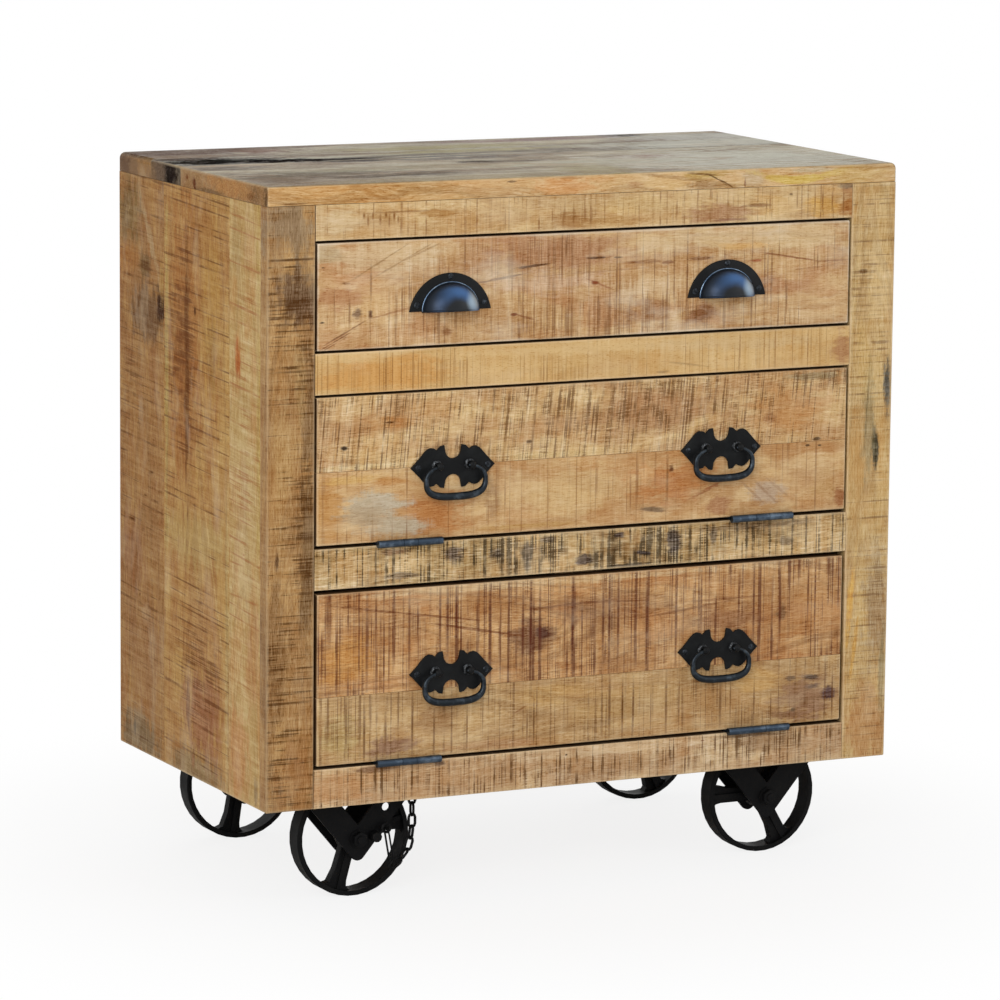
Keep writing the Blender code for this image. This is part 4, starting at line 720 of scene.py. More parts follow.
# Side panels: three upright planks a side, listed from the front back
sideLooks = [
    {"base": "b59256", "light": "c2a46c", "warm": "ba8244", "dark": "8f6a3a", "comb": 0.22, "fibre": 0.24,
     "sawColour": "9b5b20", "sawStrength": 0.7, "sawCover": 0.3, "sawLean": 0.07, "sawRun": 0.04,
     "sawSpacing": 0.006, "sawRagged": 0.15,
     "stains": (
         (0.17, -0.125, 0.06, 0.03, "b5793e", 0.75), (0.3, -0.17, 0.07, 0.02, "b07a40", 0.7),
         (0.45, -0.15, 0.12, 0.03, "c0a26c", 0.6), (0.622, -0.125, 0.016, 0.008, "a3540c", 0.97),
         (0.64, -0.122, 0.016, 0.005, "a65a12", 0.9), (0.6, -0.182, 0.2, 0.006, "b3934a", 0.8),
         (0.75, -0.12, 0.05, 0.012, "a68a54", 0.6), (0.14, -0.178, 0.02, 0.006, "8a7452", 0.7),
         (0.26, -0.128, 0.06, 0.0014, "a9793f", 0.6, -0.3), (0.7, -0.135, 0.06, 0.0016, "cbb07c", 0.6, 0.12)),
     "strokes": (
         (0.392, -0.12, 0.0011, 0.02, 0.8), (0.405, -0.142, 0.0013, 0.003, 0.9),
         (0.354, -0.165, 0.0016, 0.02, 0.8), (0.355, -0.12, 0.0012, 0.02, 0.7),
         (0.458, -0.14, 0.0013, 0.03, 0.7), (0.492, -0.145, 0.0016, 0.035, 0.8),
         (0.593, -0.14, 0.0012, 0.03, 0.7)),
     "sawPatches": ((0.5, -0.145, 0.1, 0.04, 0.3), (0.7, -0.15, 0.06, 0.03, 0.3))},
    {"base": "a87a3e", "light": "b99150", "warm": "a0682a", "dark": "74491c", "comb": 0.2,
     "sawColour": "5f3006", "sawStrength": 0.7, "sawCover": 0.35, "sawLean": 0.04, "sawRun": 0.035,
     "sawSpacing": 0.0050, "sawRagged": 0.15,
     "stains": (
         (0.13, 0.0, 0.03, 0.09, "86704c", 0.75), (0.2, -0.02, 0.06, 0.06, "925a34", 0.8),
         (0.2, 0.02, 0.03, 0.006, "6e4426", 0.7), (0.3, -0.03, 0.06, 0.05, "aa7a44", 0.5),
         (0.4, 0.0, 0.035, 0.1, "b59658", 0.75), (0.62, 0.03, 0.18, 0.06, "9a5f1c", 0.85),
         (0.6, 0.024, 0.17, 0.007, "6b4014", 0.85), (0.68, -0.05, 0.13, 0.03, "b08438", 0.7),
         (0.62, -0.05, 0.04, 0.014, "8f6424", 0.6), (0.76, -0.02, 0.04, 0.05, "98621f", 0.7),
         (0.6, 0.085, 0.2, 0.006, "ab9350", 0.7), (0.3, -0.094, 0.2, 0.006, "b59a60", 0.6),
         (0.36, -0.055, 0.11, 0.0022, "c2a266", 0.8, 0.32), (0.56, -0.035, 0.05, 0.002, "b88e48", 0.7, 0.1)),
     "knots": ((0.665, 0.0, 0.003, "4a220a"),),
     "sawPatches": ((0.62, 0.04, 0.14, 0.045, 1.3), (0.24, 0.0, 0.1, 0.08, 0.6),
                    (0.27, -0.06, 0.08, 0.03, 0.4), (0.4, 0.0, 0.04, 0.1, -0.6))},
    {"base": "976a35", "light": "a97d42", "warm": "925a24", "dark": "64421f", "comb": 0.18,
     "sawColour": "562e06", "sawCover": 0.25, "sawLean": 0.04, "sawRun": 0.03,
     "sawSpacing": 0.0050, "sawRagged": 0.15,
     "stains": (
         (0.14, 0.17, 0.03, 0.06, "705e40", 0.75), (0.145, 0.185, 0.01, 0.006, "3f3024", 0.8),
         (0.24, 0.16, 0.07, 0.06, "966a3c", 0.6), (0.29, 0.15, 0.012, 0.014, "b08a5c", 0.7),
         (0.36, 0.19, 0.05, 0.04, "8a5420", 0.85), (0.5, 0.16, 0.09, 0.06, "98682e", 0.6),
         (0.648, 0.14, 0.035, 0.06, "604228", 0.75), (0.66, 0.103, 0.022, 0.012, "38231a", 0.9),
         (0.735, 0.135, 0.05, 0.008, "ab8a5c", 0.8, 0.6), (0.69, 0.1, 0.03, 0.006, "a37a34", 0.7),
         (0.7, 0.15, 0.016, 0.02, "54401f", 0.6), (0.76, 0.2, 0.04, 0.04, "6e5526", 0.7),
         (0.705, 0.2, 0.02, 0.03, "a0661f", 0.7)),
     "strokes": (
         (0.396, 0.192, 0.0018, 0.012, 0.95), (0.309, 0.168, 0.0016, 0.002, 0.95),
         (0.46, 0.131, 0.0018, 0.006, 0.95), (0.475, 0.22, 0.0013, 0.014, 0.8),
         (0.43, 0.15, 0.0012, 0.005, 0.8)),
     "sawPatches": ((0.56, 0.19, 0.07, 0.04, 0.6), (0.69, 0.15, 0.03, 0.03, 0.8))},
]
for side in ("left", "right"):
    low, high = corners("side_panel_" + side)
    looks = sideLooks if side == "left" else [
        {**look, "stains": (), "knots": (), "strokes": (), "sawPatches": ()} for look in sideLooks]
    cutIntoPlanks("side_panel_" + side, 1, [high.y - across for across in sideSeams], edgeEase["frame"],
                  "carcass", "panel_wood", "side", looks, meets=[(2, 1), (1, 0)])

# Drawer front and flaps
drawerLook = {
    "base": "b78f60", "light": "cfae80", "warm": "b0774a", "dark": "8d6136", "comb": 0.24,
    "ringStrength": 0.15, "ringSpacing": 0.012, "paleColour": "e6dac2", "wearAndHighlightStrength": 0.75,
    "sawColour": "6b3f16", "sawRun": 0.06, "sawRagged": 0.15,
    "stains": (
        (-0.31, 0.7, 0.035, 0.016, "a8744a", 0.7), (-0.26, 0.745, 0.1, 0.02, "ccb088", 0.8),
        (-0.33, 0.75, 0.02, 0.014, "a89068", 0.6), (-0.14, 0.735, 0.03, 0.03, "ad8058", 0.6),
        (-0.04, 0.74, 0.09, 0.024, "a87a56", 0.75), (-0.05, 0.706, 0.07, 0.014, "c8a685", 0.8),
        (0.08, 0.695, 0.05, 0.012, "cfb28a", 0.7), (0.08, 0.745, 0.04, 0.014, "d0b07c", 0.6),
        (0.23, 0.748, 0.14, 0.018, "d2b68a", 0.8), (0.2, 0.737, 0.03, 0.005, "cd9f5c", 0.7),
        (0.075, 0.667, 0.03, 0.014, "99683e", 0.75), (0.145, 0.662, 0.02, 0.016, "7d4c2a", 0.8),
        (0.015, 0.67, 0.02, 0.03, "a87850", 0.5), (0.2, 0.655, 0.03, 0.01, "b8905c", 0.6),
        (-0.18, 0.657, 0.009, 0.007, "84542c", 0.85), (0.28, 0.652, 0.05, 0.008, "cfb084", 0.7),
        (-0.25, 0.655, 0.05, 0.01, "c9a478", 0.6), (0.24, 0.69, 0.05, 0.014, "ab7c56", 0.6),
        (-0.333, 0.7345, 0.004, 0.0014, "2e1d12", 0.95), (-0.334, 0.673, 0.005, 0.0016, "2e1d12", 0.95),
        (-0.305, 0.716, 0.008, 0.0018, "80552f", 0.7), (-0.29, 0.682, 0.007, 0.006, "6b4c36", 0.85),
        (-0.2745, 0.68, 0.004, 0.006, "5f3f33", 0.85),
        # grain arching over the board
        (-0.312, 0.657, 0.035, 0.0014, "75492a", 0.8, 0.5), (-0.318, 0.651, 0.03, 0.0012, "75492a", 0.8, 0.5),
        (-0.323, 0.646, 0.02, 0.0011, "75492a", 0.7, 0.5), (-0.25, 0.68, 0.035, 0.0012, "9a683e", 0.6, 0.2),
        (-0.265, 0.737, 0.05, 0.0014, "9a774a", 0.7, 0.55),
        (-0.245, 0.7335, 0.05, 0.0012, "9a774a", 0.6, 0.5), (-0.21, 0.748, 0.03, 0.0012, "a07c50", 0.6, 0.4),
        (-0.11, 0.7135, 0.03, 0.0014, "6b4328", 0.8, 0.14),
        (-0.073, 0.7255, 0.027, 0.0015, "54341f", 0.9, 0.08), (0.008, 0.7315, 0.014, 0.0015, "4f3322", 0.85),
        (0.036, 0.731, 0.007, 0.0013, "4f3322", 0.8), (0.07, 0.7245, 0.03, 0.0022, "8d6038", 0.75),
        (0.1, 0.7225, 0.008, 0.002, "7d4c2a", 0.8), (0.14, 0.7255, 0.016, 0.002, "7d5232", 0.75),
        (-0.01, 0.715, 0.1, 0.0012, "9d7450", 0.5, 0.03),
        (0.265, 0.7215, 0.045, 0.0014, "895530", 0.85, -0.17), (0.32, 0.7155, 0.03, 0.0012, "8f5f3a", 0.7),
        (0.215, 0.7195, 0.01, 0.002, "964e28", 0.9), (0.3, 0.709, 0.04, 0.001, "9d7048", 0.6, 0.06),
        (0.018, 0.699, 0.018, 0.0014, "935a38", 0.7, -0.4),
        (-0.083, 0.668, 0.016, 0.0016, "8a5230", 0.7, -0.3)),
    "knots": ((0.007, 0.703, 0.003, "7d3c1e"), (-0.096, 0.671, 0.0026, "733c20")),
    "strokes": (
        (-0.274, 0.715, 0.0014, 0.022, 0.6), (-0.158, 0.74, 0.0012, 0.03, 0.6),
        (-0.0855, 0.7, 0.0009, 0.06, 0.5), (-0.0305, 0.745, 0.0018, 0.014, 0.8),
        (-0.0305, 0.66, 0.0014, 0.02, 0.6), (0.0345, 0.7, 0.0011, 0.07, 0.75),
        (0.0515, 0.665, 0.0014, 0.018, 0.7), (0.077, 0.665, 0.0012, 0.018, 0.6),
        (0.1, 0.68, 0.0012, 0.05, 0.6), (0.1255, 0.7, 0.0012, 0.06, 0.85), (0.231, 0.7, 0.001, 0.035, 0.7),
        (0.2565, 0.675, 0.001, 0.02, 0.75), (0.21, 0.665, 0.0014, 0.018, 0.7),
        (0.138, 0.66, 0.0014, 0.018, 0.8), (-0.065, 0.735, 0.001, 0.03, 0.5)),
    "sawPatches": ((0.05, 0.66, 0.16, 0.03, 0.8), (-0.06, 0.73, 0.08, 0.05, 0.7),
                   (-0.2, 0.68, 0.08, 0.04, 0.6), (0.2, 0.752, 0.17, 0.024, -1.2),
                   (-0.3, 0.74, 0.09, 0.05, -1.2), (0.31, 0.67, 0.05, 0.04, -0.7),
                   (-0.32, 0.655, 0.05, 0.02, -0.8))}
cutIntoPlanks("drawer_front", 2, [], edgeEase["flap"], "drawer", "panel_wood", "front",
              [{**drawerLook, **gapShadeLook}])
flapLooks = {
    "upper_flap": (0.083, [
        {"base": "b88f5f", "light": "cfad7c", "warm": "b27b42", "dark": "8a6034", "comb": 0.12,
         "ringStrength": 0.12, "ringSlope": 0.04, "ringDepth": 0.09, "sawColour": "7a4b1c",
         "sawStrength": 0.55, "sawCover": 0.28, "sawRun": 0.1, "sawSpacing": 0.006, "sawRagged": 0.03,
         "stains": (
             (-0.325, 0.46, 0.02, 0.04, "b5803e", 0.75), (-0.29, 0.493, 0.04, 0.006, "c9a05c", 0.7),
             (-0.195, 0.449, 0.045, 0.026, "ac6f36", 0.88), (-0.25, 0.49, 0.03, 0.006, "b57f42", 0.7),
             (-0.265, 0.463, 0.04, 0.018, "b7a88f", 0.95), (-0.243, 0.44, 0.044, 0.012, "b4a48a", 0.92),
             (-0.28, 0.45, 0.03, 0.014, "ab9474", 0.85), (-0.12, 0.462, 0.01, 0.022, "9d7750", 0.75),
             (-0.03, 0.465, 0.08, 0.03, "ccab78", 0.7), (-0.06, 0.428, 0.08, 0.004, "b58a48", 0.6),
             (0.11, 0.468, 0.055, 0.026, "b3733a", 0.88), (0.077, 0.476, 0.011, 0.011, "cc9f6a", 0.9),
             (0.083, 0.4365, 0.018, 0.0028, "4d331e", 0.9, -0.08),
             (0.109, 0.483, 0.005, 0.006, "5d3219", 0.9), (0.16, 0.458, 0.02, 0.002, "8f5228", 0.85, 0.35),
             (0.15, 0.452, 0.02, 0.002, "8f5228", 0.75, 0.35), (0.17, 0.437, 0.014, 0.012, "a06e48", 0.8),
             (0.205, 0.447, 0.012, 0.01, "d0b080", 0.8), (0.236, 0.447, 0.022, 0.014, "b39c84", 0.8),
             (0.215, 0.449, 0.018, 0.0022, "946f4e", 0.5, -0.9),
             (0.232, 0.449, 0.018, 0.0024, "946f4e", 0.5, -0.9),
             (0.25, 0.451, 0.018, 0.0022, "9c7855", 0.45, -0.8), (0.22, 0.435, 0.008, 0.003, "a87c4c", 0.7),
             (0.29, 0.48, 0.03, 0.012, "ceac7c", 0.7), (0.31, 0.455, 0.02, 0.02, "b8915c", 0.6),
             (0.333, 0.435, 0.01, 0.014, "93592e", 0.85), (0.288, 0.4995, 0.003, 0.0014, "3f2a1a", 0.9),
             (0.304, 0.4985, 0.003, 0.0014, "3f2a1a", 0.9)),
         "strokes": (
             (0.1035, 0.47, 0.0016, 0.03, 0.85), (0.012, 0.475, 0.0012, 0.02, 0.6),
             (-0.105, 0.465, 0.0009, 0.02, 0.7), (0.065, 0.47, 0.001, 0.025, 0.7),
             (0.056, 0.455, 0.001, 0.02, 0.7), (-0.1165, 0.468, 0.0009, 0.016, 0.7),
             (0.287, 0.472, 0.0008, 0.026, 0.6), (-0.05, 0.455, 0.0009, 0.016, 0.5)),
         "sawPatches": ((0.06, 0.46, 0.06, 0.04, 0.3), (-0.25, 0.46, 0.07, 0.04, -0.9),
                        (0.22, 0.45, 0.06, 0.03, -0.5))},
        {"base": "bc9567", "light": "d4b583", "warm": "b07c46", "warmth": 0.35, "dark": "8f6a42",
         "fibre": 0.2, "comb": 0.24, "ringStrength": 0.12, "sawColour": "613f1c", "sawStrength": 0.76,
         "sawCover": 0.85, "sawLean": 0.09, "sawSpacing": 0.0038, "sawRun": 0.03, "sawRagged": 0.5,
         "stains": (
             (-0.247, 0.5575, 0.036, 0.009, "ae7436", 0.75), (-0.25, 0.5565, 0.012, 0.0022, "4f280e", 0.92),
             (-0.3, 0.575, 0.03, 0.01, "d0b284", 0.6), (-0.2, 0.57, 0.05, 0.012, "bd8d54", 0.5),
             (-0.075, 0.5245, 0.0035, 0.0022, "4a2f1c", 0.85), (-0.28, 0.508, 0.07, 0.004, "dcc496", 0.8),
             (-0.05, 0.508, 0.08, 0.004, "cdb07c", 0.7), (0.09, 0.55, 0.1, 0.03, "a87a50", 0.6),
             (0.27, 0.545, 0.06, 0.03, "bd8b54", 0.8), (0.237, 0.535, 0.008, 0.008, "96643a", 0.7),
             (0.3, 0.5065, 0.006, 0.0025, "4d3620", 0.85), (0.3, 0.581, 0.04, 0.005, "93805c", 0.75)),
         "knots": ((-0.306, 0.5305, 0.003, "1d1413"),),
         "sawPatches": ((0.05, 0.56, 0.16, 0.04, 0.35), (0.29, 0.54, 0.05, 0.04, -0.8),
                        (-0.29, 0.57, 0.04, 0.02, -0.6))}]),
    "lower_flap": (0.0785, [
        {"base": "ae8a5c", "light": "c5a474", "warm": "a97a44", "dark": "7d5c38", "fibre": 0.2, "comb": 0.13,
         "sawColour": "5d3612", "sawCover": 0.5, "sawRun": 0.04,
         "sawRagged": 0.3,
         "stains": (
             (-0.31, 0.2, 0.03, 0.025, "b89e68", 0.7), (-0.245, 0.185, 0.03, 0.016, "86604a", 0.8),
             (-0.19, 0.215, 0.03, 0.016, "8a6138", 0.6), (-0.05, 0.23, 0.06, 0.012, "c29a5c", 0.5),
             (-0.12, 0.177, 0.08, 0.006, "a87c54", 0.6), (0.06, 0.21, 0.08, 0.025, "bd9a64", 0.5),
             (0.13, 0.185, 0.012, 0.01, "a3743e", 0.7), (0.22, 0.225, 0.04, 0.014, "c49a5c", 0.7),
             (0.295, 0.2, 0.04, 0.028, "8a6448", 0.85), (0.298, 0.223, 0.011, 0.0035, "54443a", 0.9),
             (0.272, 0.2235, 0.007, 0.003, "6e5844", 0.8), (0.322, 0.203, 0.009, 0.012, "44303a", 0.85),
             (0.302, 0.212, 0.012, 0.004, "5a4440", 0.75), (0.275, 0.186, 0.004, 0.0025, "54402e", 0.8),
             (0.26, 0.18, 0.02, 0.004, "7d5638", 0.7), (-0.083, 0.2145, 0.008, 0.0012, "8a5a30", 0.8, 0.5)),
         "strokes": (
             (-0.302, 0.215, 0.0016, 0.035, 0.75), (-0.2795, 0.2, 0.0016, 0.04, 0.85),
             (-0.253, 0.205, 0.0018, 0.025, 0.7), (-0.2195, 0.21, 0.0015, 0.04, 0.85),
             (-0.192, 0.195, 0.0012, 0.03, 0.8), (-0.17, 0.19, 0.0013, 0.03, 0.7),
             (-0.1505, 0.195, 0.001, 0.03, 0.8), (-0.0655, 0.2, 0.0012, 0.03, 0.8),
             (-0.074, 0.195, 0.001, 0.02, 0.7), (0.032, 0.21, 0.002, 0.04, 0.75),
             (0.049, 0.205, 0.0014, 0.035, 0.95), (0.063, 0.205, 0.0014, 0.035, 0.9),
             (0.086, 0.2, 0.0009, 0.03, 0.7), (0.106, 0.205, 0.0018, 0.035, 0.75),
             (0.123, 0.205, 0.001, 0.03, 0.8), (0.1775, 0.2, 0.002, 0.03, 0.7),
             (0.191, 0.205, 0.001, 0.025, 0.7), (0.2225, 0.2, 0.001, 0.025, 0.8),
             (0.245, 0.19, 0.001, 0.02, 0.8), (0.3275, 0.2, 0.0011, 0.03, 0.85)),
         "sawPatches": ((-0.31, 0.21, 0.05, 0.04, 0.4), (0.22, 0.22, 0.05, 0.03, -0.5))},
        {"base": "ac7e4e", "light": "cda370", "warm": "ad6e36", "dark": "6f4726", "fibre": 0.2, "comb": 0.15,
         "ringStrength": 0.3, "ringSlope": 0.12, "sawColour": "54261a", "sawStrength": 0.75, "sawCover": 0.85,
         "sawRun": 0.06, "sawRagged": 0.3,
         "stains": (
             (-0.3, 0.285, 0.04, 0.04, "bb823c", 0.7), (-0.27, 0.258, 0.05, 0.01, "c09060", 0.7),
             (-0.07, 0.3, 0.035, 0.022, "6b4630", 0.75), (-0.055, 0.303, 0.01, 0.01, "4f3433", 0.7),
             (0.03, 0.325, 0.08, 0.02, "8a5d36", 0.55), (-0.12, 0.34, 0.06, 0.012, "a8743e", 0.5),
             (0.0, 0.361, 0.34, 0.005, "cfae80", 0.85), (0.19, 0.3, 0.05, 0.014, "875632", 0.7),
             (0.24, 0.335, 0.09, 0.014, "bd9160", 0.6), (0.3, 0.3, 0.04, 0.03, "b5824e", 0.6),
             (0.258, 0.305, 0.008, 0.01, "6b4a30", 0.75), (0.29, 0.257, 0.04, 0.008, "c39a68", 0.7),
             (0.06, 0.26, 0.05, 0.01, "a87c50", 0.5), (-0.21, 0.334, 0.12, 0.0016, "774420", 0.75, -0.16),
             (-0.14, 0.312, 0.07, 0.0016, "774420", 0.75, -0.2),
             (0.0, 0.333, 0.1, 0.0015, "774420", 0.7, 0, -0.5),
             (0.12, 0.315, 0.07, 0.0015, "774420", 0.6, 0.1), (0.19, 0.325, 0.06, 0.0014, "7d4a26", 0.6)),
         "strokes": (
             (-0.3255, 0.34, 0.002, 0.03, 0.7), (-0.2767, 0.31, 0.002, 0.06, 0.75),
             (-0.2655, 0.335, 0.0014, 0.03, 0.8), (-0.224, 0.32, 0.0018, 0.06, 0.75),
             (-0.1855, 0.33, 0.0018, 0.045, 0.85), (-0.176, 0.33, 0.0022, 0.05, 0.85),
             (-0.165, 0.33, 0.0022, 0.05, 0.95), (-0.1225, 0.31, 0.0022, 0.08, 0.9),
             (-0.109, 0.3, 0.0012, 0.06, 0.8), (-0.0805, 0.31, 0.0018, 0.06, 0.85),
             (-0.0705, 0.31, 0.0022, 0.08, 0.95), (-0.059, 0.31, 0.0018, 0.05, 0.85),
             (-0.0168, 0.31, 0.0024, 0.08, 0.95), (-0.027, 0.31, 0.0012, 0.06, 0.7),
             (0.0225, 0.31, 0.0018, 0.05, 0.85), (0.0305, 0.31, 0.0018, 0.08, 0.9),
             (0.042, 0.315, 0.0018, 0.06, 0.85), (0.0795, 0.3, 0.0022, 0.08, 0.9),
             (0.1175, 0.31, 0.0016, 0.07, 0.85), (0.127, 0.32, 0.001, 0.05, 0.7),
             (0.1505, 0.325, 0.0014, 0.04, 0.8), (0.22, 0.32, 0.0016, 0.06, 0.85),
             (0.229, 0.31, 0.001, 0.06, 0.8), (0.255, 0.31, 0.0018, 0.045, 0.85),
             (0.2925, 0.33, 0.0011, 0.04, 0.9), (0.302, 0.32, 0.0011, 0.05, 0.9)),
         "sawPatches": ((-0.05, 0.31, 0.1, 0.06, 0.2), (0.28, 0.3, 0.05, 0.06, -0.3))}]),
}
for flap, (plankWidth, looks) in flapLooks.items():
    low, high = corners(flap + "_panel")
    looks = [{**look, **gapShadeLook} for look in looks]
    cutIntoPlanks(flap + "_panel", 2, [low.z + plankWidth], edgeEase["flap"], flap, "panel_wood", "front",
                  looks)

# Boards inside and behind: plain sawn wood without wax
innerLook = {"base": "a98a63", "light": "b99c74", "warm": "a07a4c", "dark": "86694a", "sawCover": 0.2,
             "roughness": 0.75, "gloss": 0.2}
innerLays = {
    "floor_board": "top", "lower_shelf": "top", "upper_shelf": "top", "drawer_guide_left": "depth",
    "drawer_guide_right": "depth", "upper_flap_stop": "front", "lower_flap_stop": "front",
    "drawer_side_left": "depth", "drawer_side_right": "depth", "drawer_bottom": "top",
    "drawer_back": "front",
}
for node, lay in innerLays.items():
    low, high = corners(node)
    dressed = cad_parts[node]
    dressed.data.materials.clear()
    dressed.data.materials.append(boardWood(node + "_wood", low, high, lay, **innerLook))
low, high = corners("back_panel")
seams = [low.x + (high.x - low.x) * i / 6 for i in range(1, 6)]
cutIntoPlanks("back_panel", 0, seams, edgeEase["frame"], "carcass", "inner_wood", "stile", [innerLook] * 6)
print("boards cut and waxed")


# Iron and steel

def paintedIron(name, look):
    material, tree, shader = newMaterial(name)
    coords = addNode(tree, "TexCoord").outputs["Object"]
    cloud = addNoise(tree, coords, look["cloudScale"], 4.0, 0.6)["Fac"]
    worn = addRange(tree, cloud, 0.48, 0.72, 0.0, look["wear"])
    tree.links.new(addMix(tree, worn, look["colour"], look["paleColour"]), shader.inputs["Base Color"])
    shader.inputs["Metallic"].default_value = look["metallic"]
    shader.inputs["Specular IOR Level"].default_value = look["gloss"]
    tree.links.new(addRange(tree, cloud, 0.3, 0.7, *look["roughness"]), shader.inputs["Roughness"])
    addBump(tree, shader, addNoise(tree, coords, look["grainScale"], 2.0)["Fac"], look["bump"], 0.0004)
    return material


ironLooks = {
    # sand cast iron dipped in black: dull, with a pebbled skin about 1 mm across
    "castIron": {"colour": "0b0b0c", "paleColour": "1c1b1a", "wear": 0.5, "cloudScale": 35,
                 "grainScale": 700, "metallic": 0.0, "gloss": 0.1, "roughness": (0.45, 0.65), "bump": 0.5},
    # pressed plate, satin black lacquer
    "satinBlack": {"colour": "0f1011", "paleColour": "1f2122", "wear": 0.6, "cloudScale": 60,
                   "grainScale": 900, "metallic": 0.0, "gloss": 0.13, "roughness": (0.34, 0.5), "bump": 0.25},
    # handled steel, blued nearly black, with cold blue-grey patches that are partly rubbed wear and partly a
    # painted highlight
    "handledSteelWearAndHighlight": {"colour": "262b30", "paleColour": "56616b", "wear": 0.6, "cloudScale": 110,
                     "grainScale": 800, "metallic": 0.9, "gloss": 0.5, "roughness": (0.28, 0.42),
                     "bump": 0.2},
    # rolled hinge steel, an even blue-grey rubbed paler in places
    "hingeSteel": {"colour": "3a4654", "paleColour": "8698aa", "wear": 0.5, "cloudScale": 70,
                   "grainScale": 900, "metallic": 0.9, "gloss": 0.5, "roughness": (0.3, 0.42), "bump": 0.1},
    # the rolled bead round a cup pull, painted pale steel as a painted highlight along its crest, blotched
    # paler in places
    "beadPaintedHighlight": {"colour": "5b6f88", "paleColour": "9fb3c6", "wear": 0.9, "cloudScale": 80,
                    "grainScale": 900, "metallic": 0.9, "gloss": 0.5, "roughness": (0.22, 0.34), "bump": 0.1},
    # the bosses that hold the bails' eyes, flecked with grey: partly wear and partly a painted highlight for
    # the light on their rims
    "bossBlackWearAndHighlight": {"colour": "15171a", "paleColour": "7a7f84", "wear": 0.8, "cloudScale": 420,
                  "grainScale": 900, "metallic": 0.5, "gloss": 0.5, "roughness": (0.3, 0.45), "bump": 0.3},
    # screw heads, their lacquer rubbed through by the driver
    "screwBlack": {"colour": "14171b", "paleColour": "48515a", "wear": 0.9, "cloudScale": 300,
                   "grainScale": 1200, "metallic": 0.6, "gloss": 0.4, "roughness": (0.28, 0.42), "bump": 0.2},
}
iron = {name: paintedIron(name, look) for name, look in ironLooks.items()}


def refined(node, body, slot, material, ease=0.0, swell=0.0):
    # a merged copy of the CAD piece, with its sharp edges eased; swell thickens a thin wire
    shape = bmesh.new()
    shape.from_mesh(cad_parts[node].data)
    bmesh.ops.remove_doubles(shape, verts=shape.verts, dist=0.00001)
    bmesh.ops.dissolve_limit(shape, angle_limit=0.01, verts=shape.verts, edges=shape.edges)
    shape.normal_update()
    grown = [vert.co + vert.normal * swell for vert in shape.verts]
    for vert, place in zip(shape.verts, grown):
        vert.co = place
    piece = finishPiece(shape, node + "_finished", material, body, slot, node, smooth=True)
    piece.data.set_sharp_from_angle(angle=math.radians(35))
    if ease:
        eased = piece.modifiers.new("eased", "BEVEL")
        eased.width = ease
        eased.segments = 2
        eased.limit_method = "ANGLE"
        eased.angle_limit = math.radians(40)
        eased.harden_normals = True
    return piece


castEase = {"wheel": 0.0006, "bracket": 0.0004, "bolt": 0.0004, "leaf": 0.0002, "plate": 0.0004}
wireSwell = 0.0004
for wheel in ("front_left", "front_right", "rear_left", "rear_right"):
    for node, body, kind in (("wheel_", "wheel_" + wheel, "wheel"), ("wheel_bracket_", "carcass", "bracket"),
                             ("axle_bolt_", "carcass", "bolt")):
        refined(node + wheel, body, "cast_iron", iron["castIron"], castEase[kind])
refined("lock_pin", "wheel_lock", "cast_iron", iron["castIron"])
for node in ("pin_loop", "lock_chain"):
    refined(node, "wheel_lock", "cast_iron", iron["castIron"], swell=wireSwell)
refined("chain_staple", "carcass", "cast_iron", iron["castIron"])
flapSides = [(flap, side) for flap in ("upper_flap", "lower_flap") for side in ("left", "right")]
for flap, side in flapSides:
    refined(f"{flap}_fixed_leaf_{side}", "carcass", "hinge_steel", iron["hingeSteel"], castEase["leaf"])
    refined(f"{flap}_moving_leaf_{side}", flap, "hinge_steel", iron["hingeSteel"], castEase["leaf"])
    refined(f"{flap}_plate_{side}", flap, "black_hardware", iron["satinBlack"], castEase["plate"])

# Slotted screws: a domed head, the slot sunk into it
screwLook = {"radius": 0.0036, "height": 0.0014, "slotShare": 0.15, "slotDepth": 0.6, "plateThick": 0.0022}


def screwHeads(name, places, body):
    # places: where each head sits on a face that looks to the front, and its slot's turn
    one = bmesh.new()
    bmesh.ops.create_uvsphere(one, u_segments=28, v_segments=14, radius=1)
    sliceShape(one, (0, 0, 0), (0, 0, -1))
    for side in (-1, 1):
        sliceShape(one, (side * screwLook["slotShare"], 0, 0), (1, 0, 0), False)
    slot = [face for face in one.faces if abs(face.calc_center_median().x) < screwLook["slotShare"]]
    sunk = bmesh.ops.extrude_face_region(one, geom=slot)["geom"]
    for vert in sunk:
        if isinstance(vert, bmesh.types.BMVert):
            vert.co.z = min(vert.co.z, 1 - screwLook["slotDepth"])
    head = bpy.data.meshes.new("screwHead")
    one.to_mesh(head)
    one.free()
    shape = bmesh.new()
    for place, slotTurn in places:
        known = len(shape.verts)
        shape.from_mesh(head)
        shape.verts.ensure_lookup_table()
        fresh = shape.verts[known:]
        wide, tall = screwLook["radius"], screwLook["height"]
        bmesh.ops.rotate(shape, matrix=Matrix.Rotation(slotTurn, 3, "Z"), verts=fresh)
        bmesh.ops.scale(shape, vec=(wide, wide, tall), verts=fresh)
        bmesh.ops.rotate(shape, matrix=Matrix.Rotation(math.pi / 2, 3, "X"), verts=fresh)
        bmesh.ops.translate(shape, vec=place, verts=fresh)
    bpy.data.meshes.remove(head)
    piece = finishPiece(shape, name, iron["screwBlack"], body, "black_hardware", smooth=True)
    piece.data.set_sharp_from_angle(angle=math.radians(40))
    return piece


# Bail handles: thick in the grip, thin at the two ends, with a pair of grooves in the middle
bailLook = {
    "halfWidth": 0.0370, "drop": 0.0348, "shoulder": 0.0150, "grip": 0.0045, "end": 0.0018, "eye": 0.0023,
    "eyeSpread": 0.041, "eyeRadius": 0.0045, "squareness": 2 / 3.1, "steps": 40, "taper": 1.3,
    "grooves": (-0.0035, 0.0035), "grooveWidth": 0.0011, "grooveDepth": 0.0011, "groovedShare": 0.3,
    "bossRadius": 0.0064, "bossHeight": 0.0038, "screwSpread": 0.087,
}


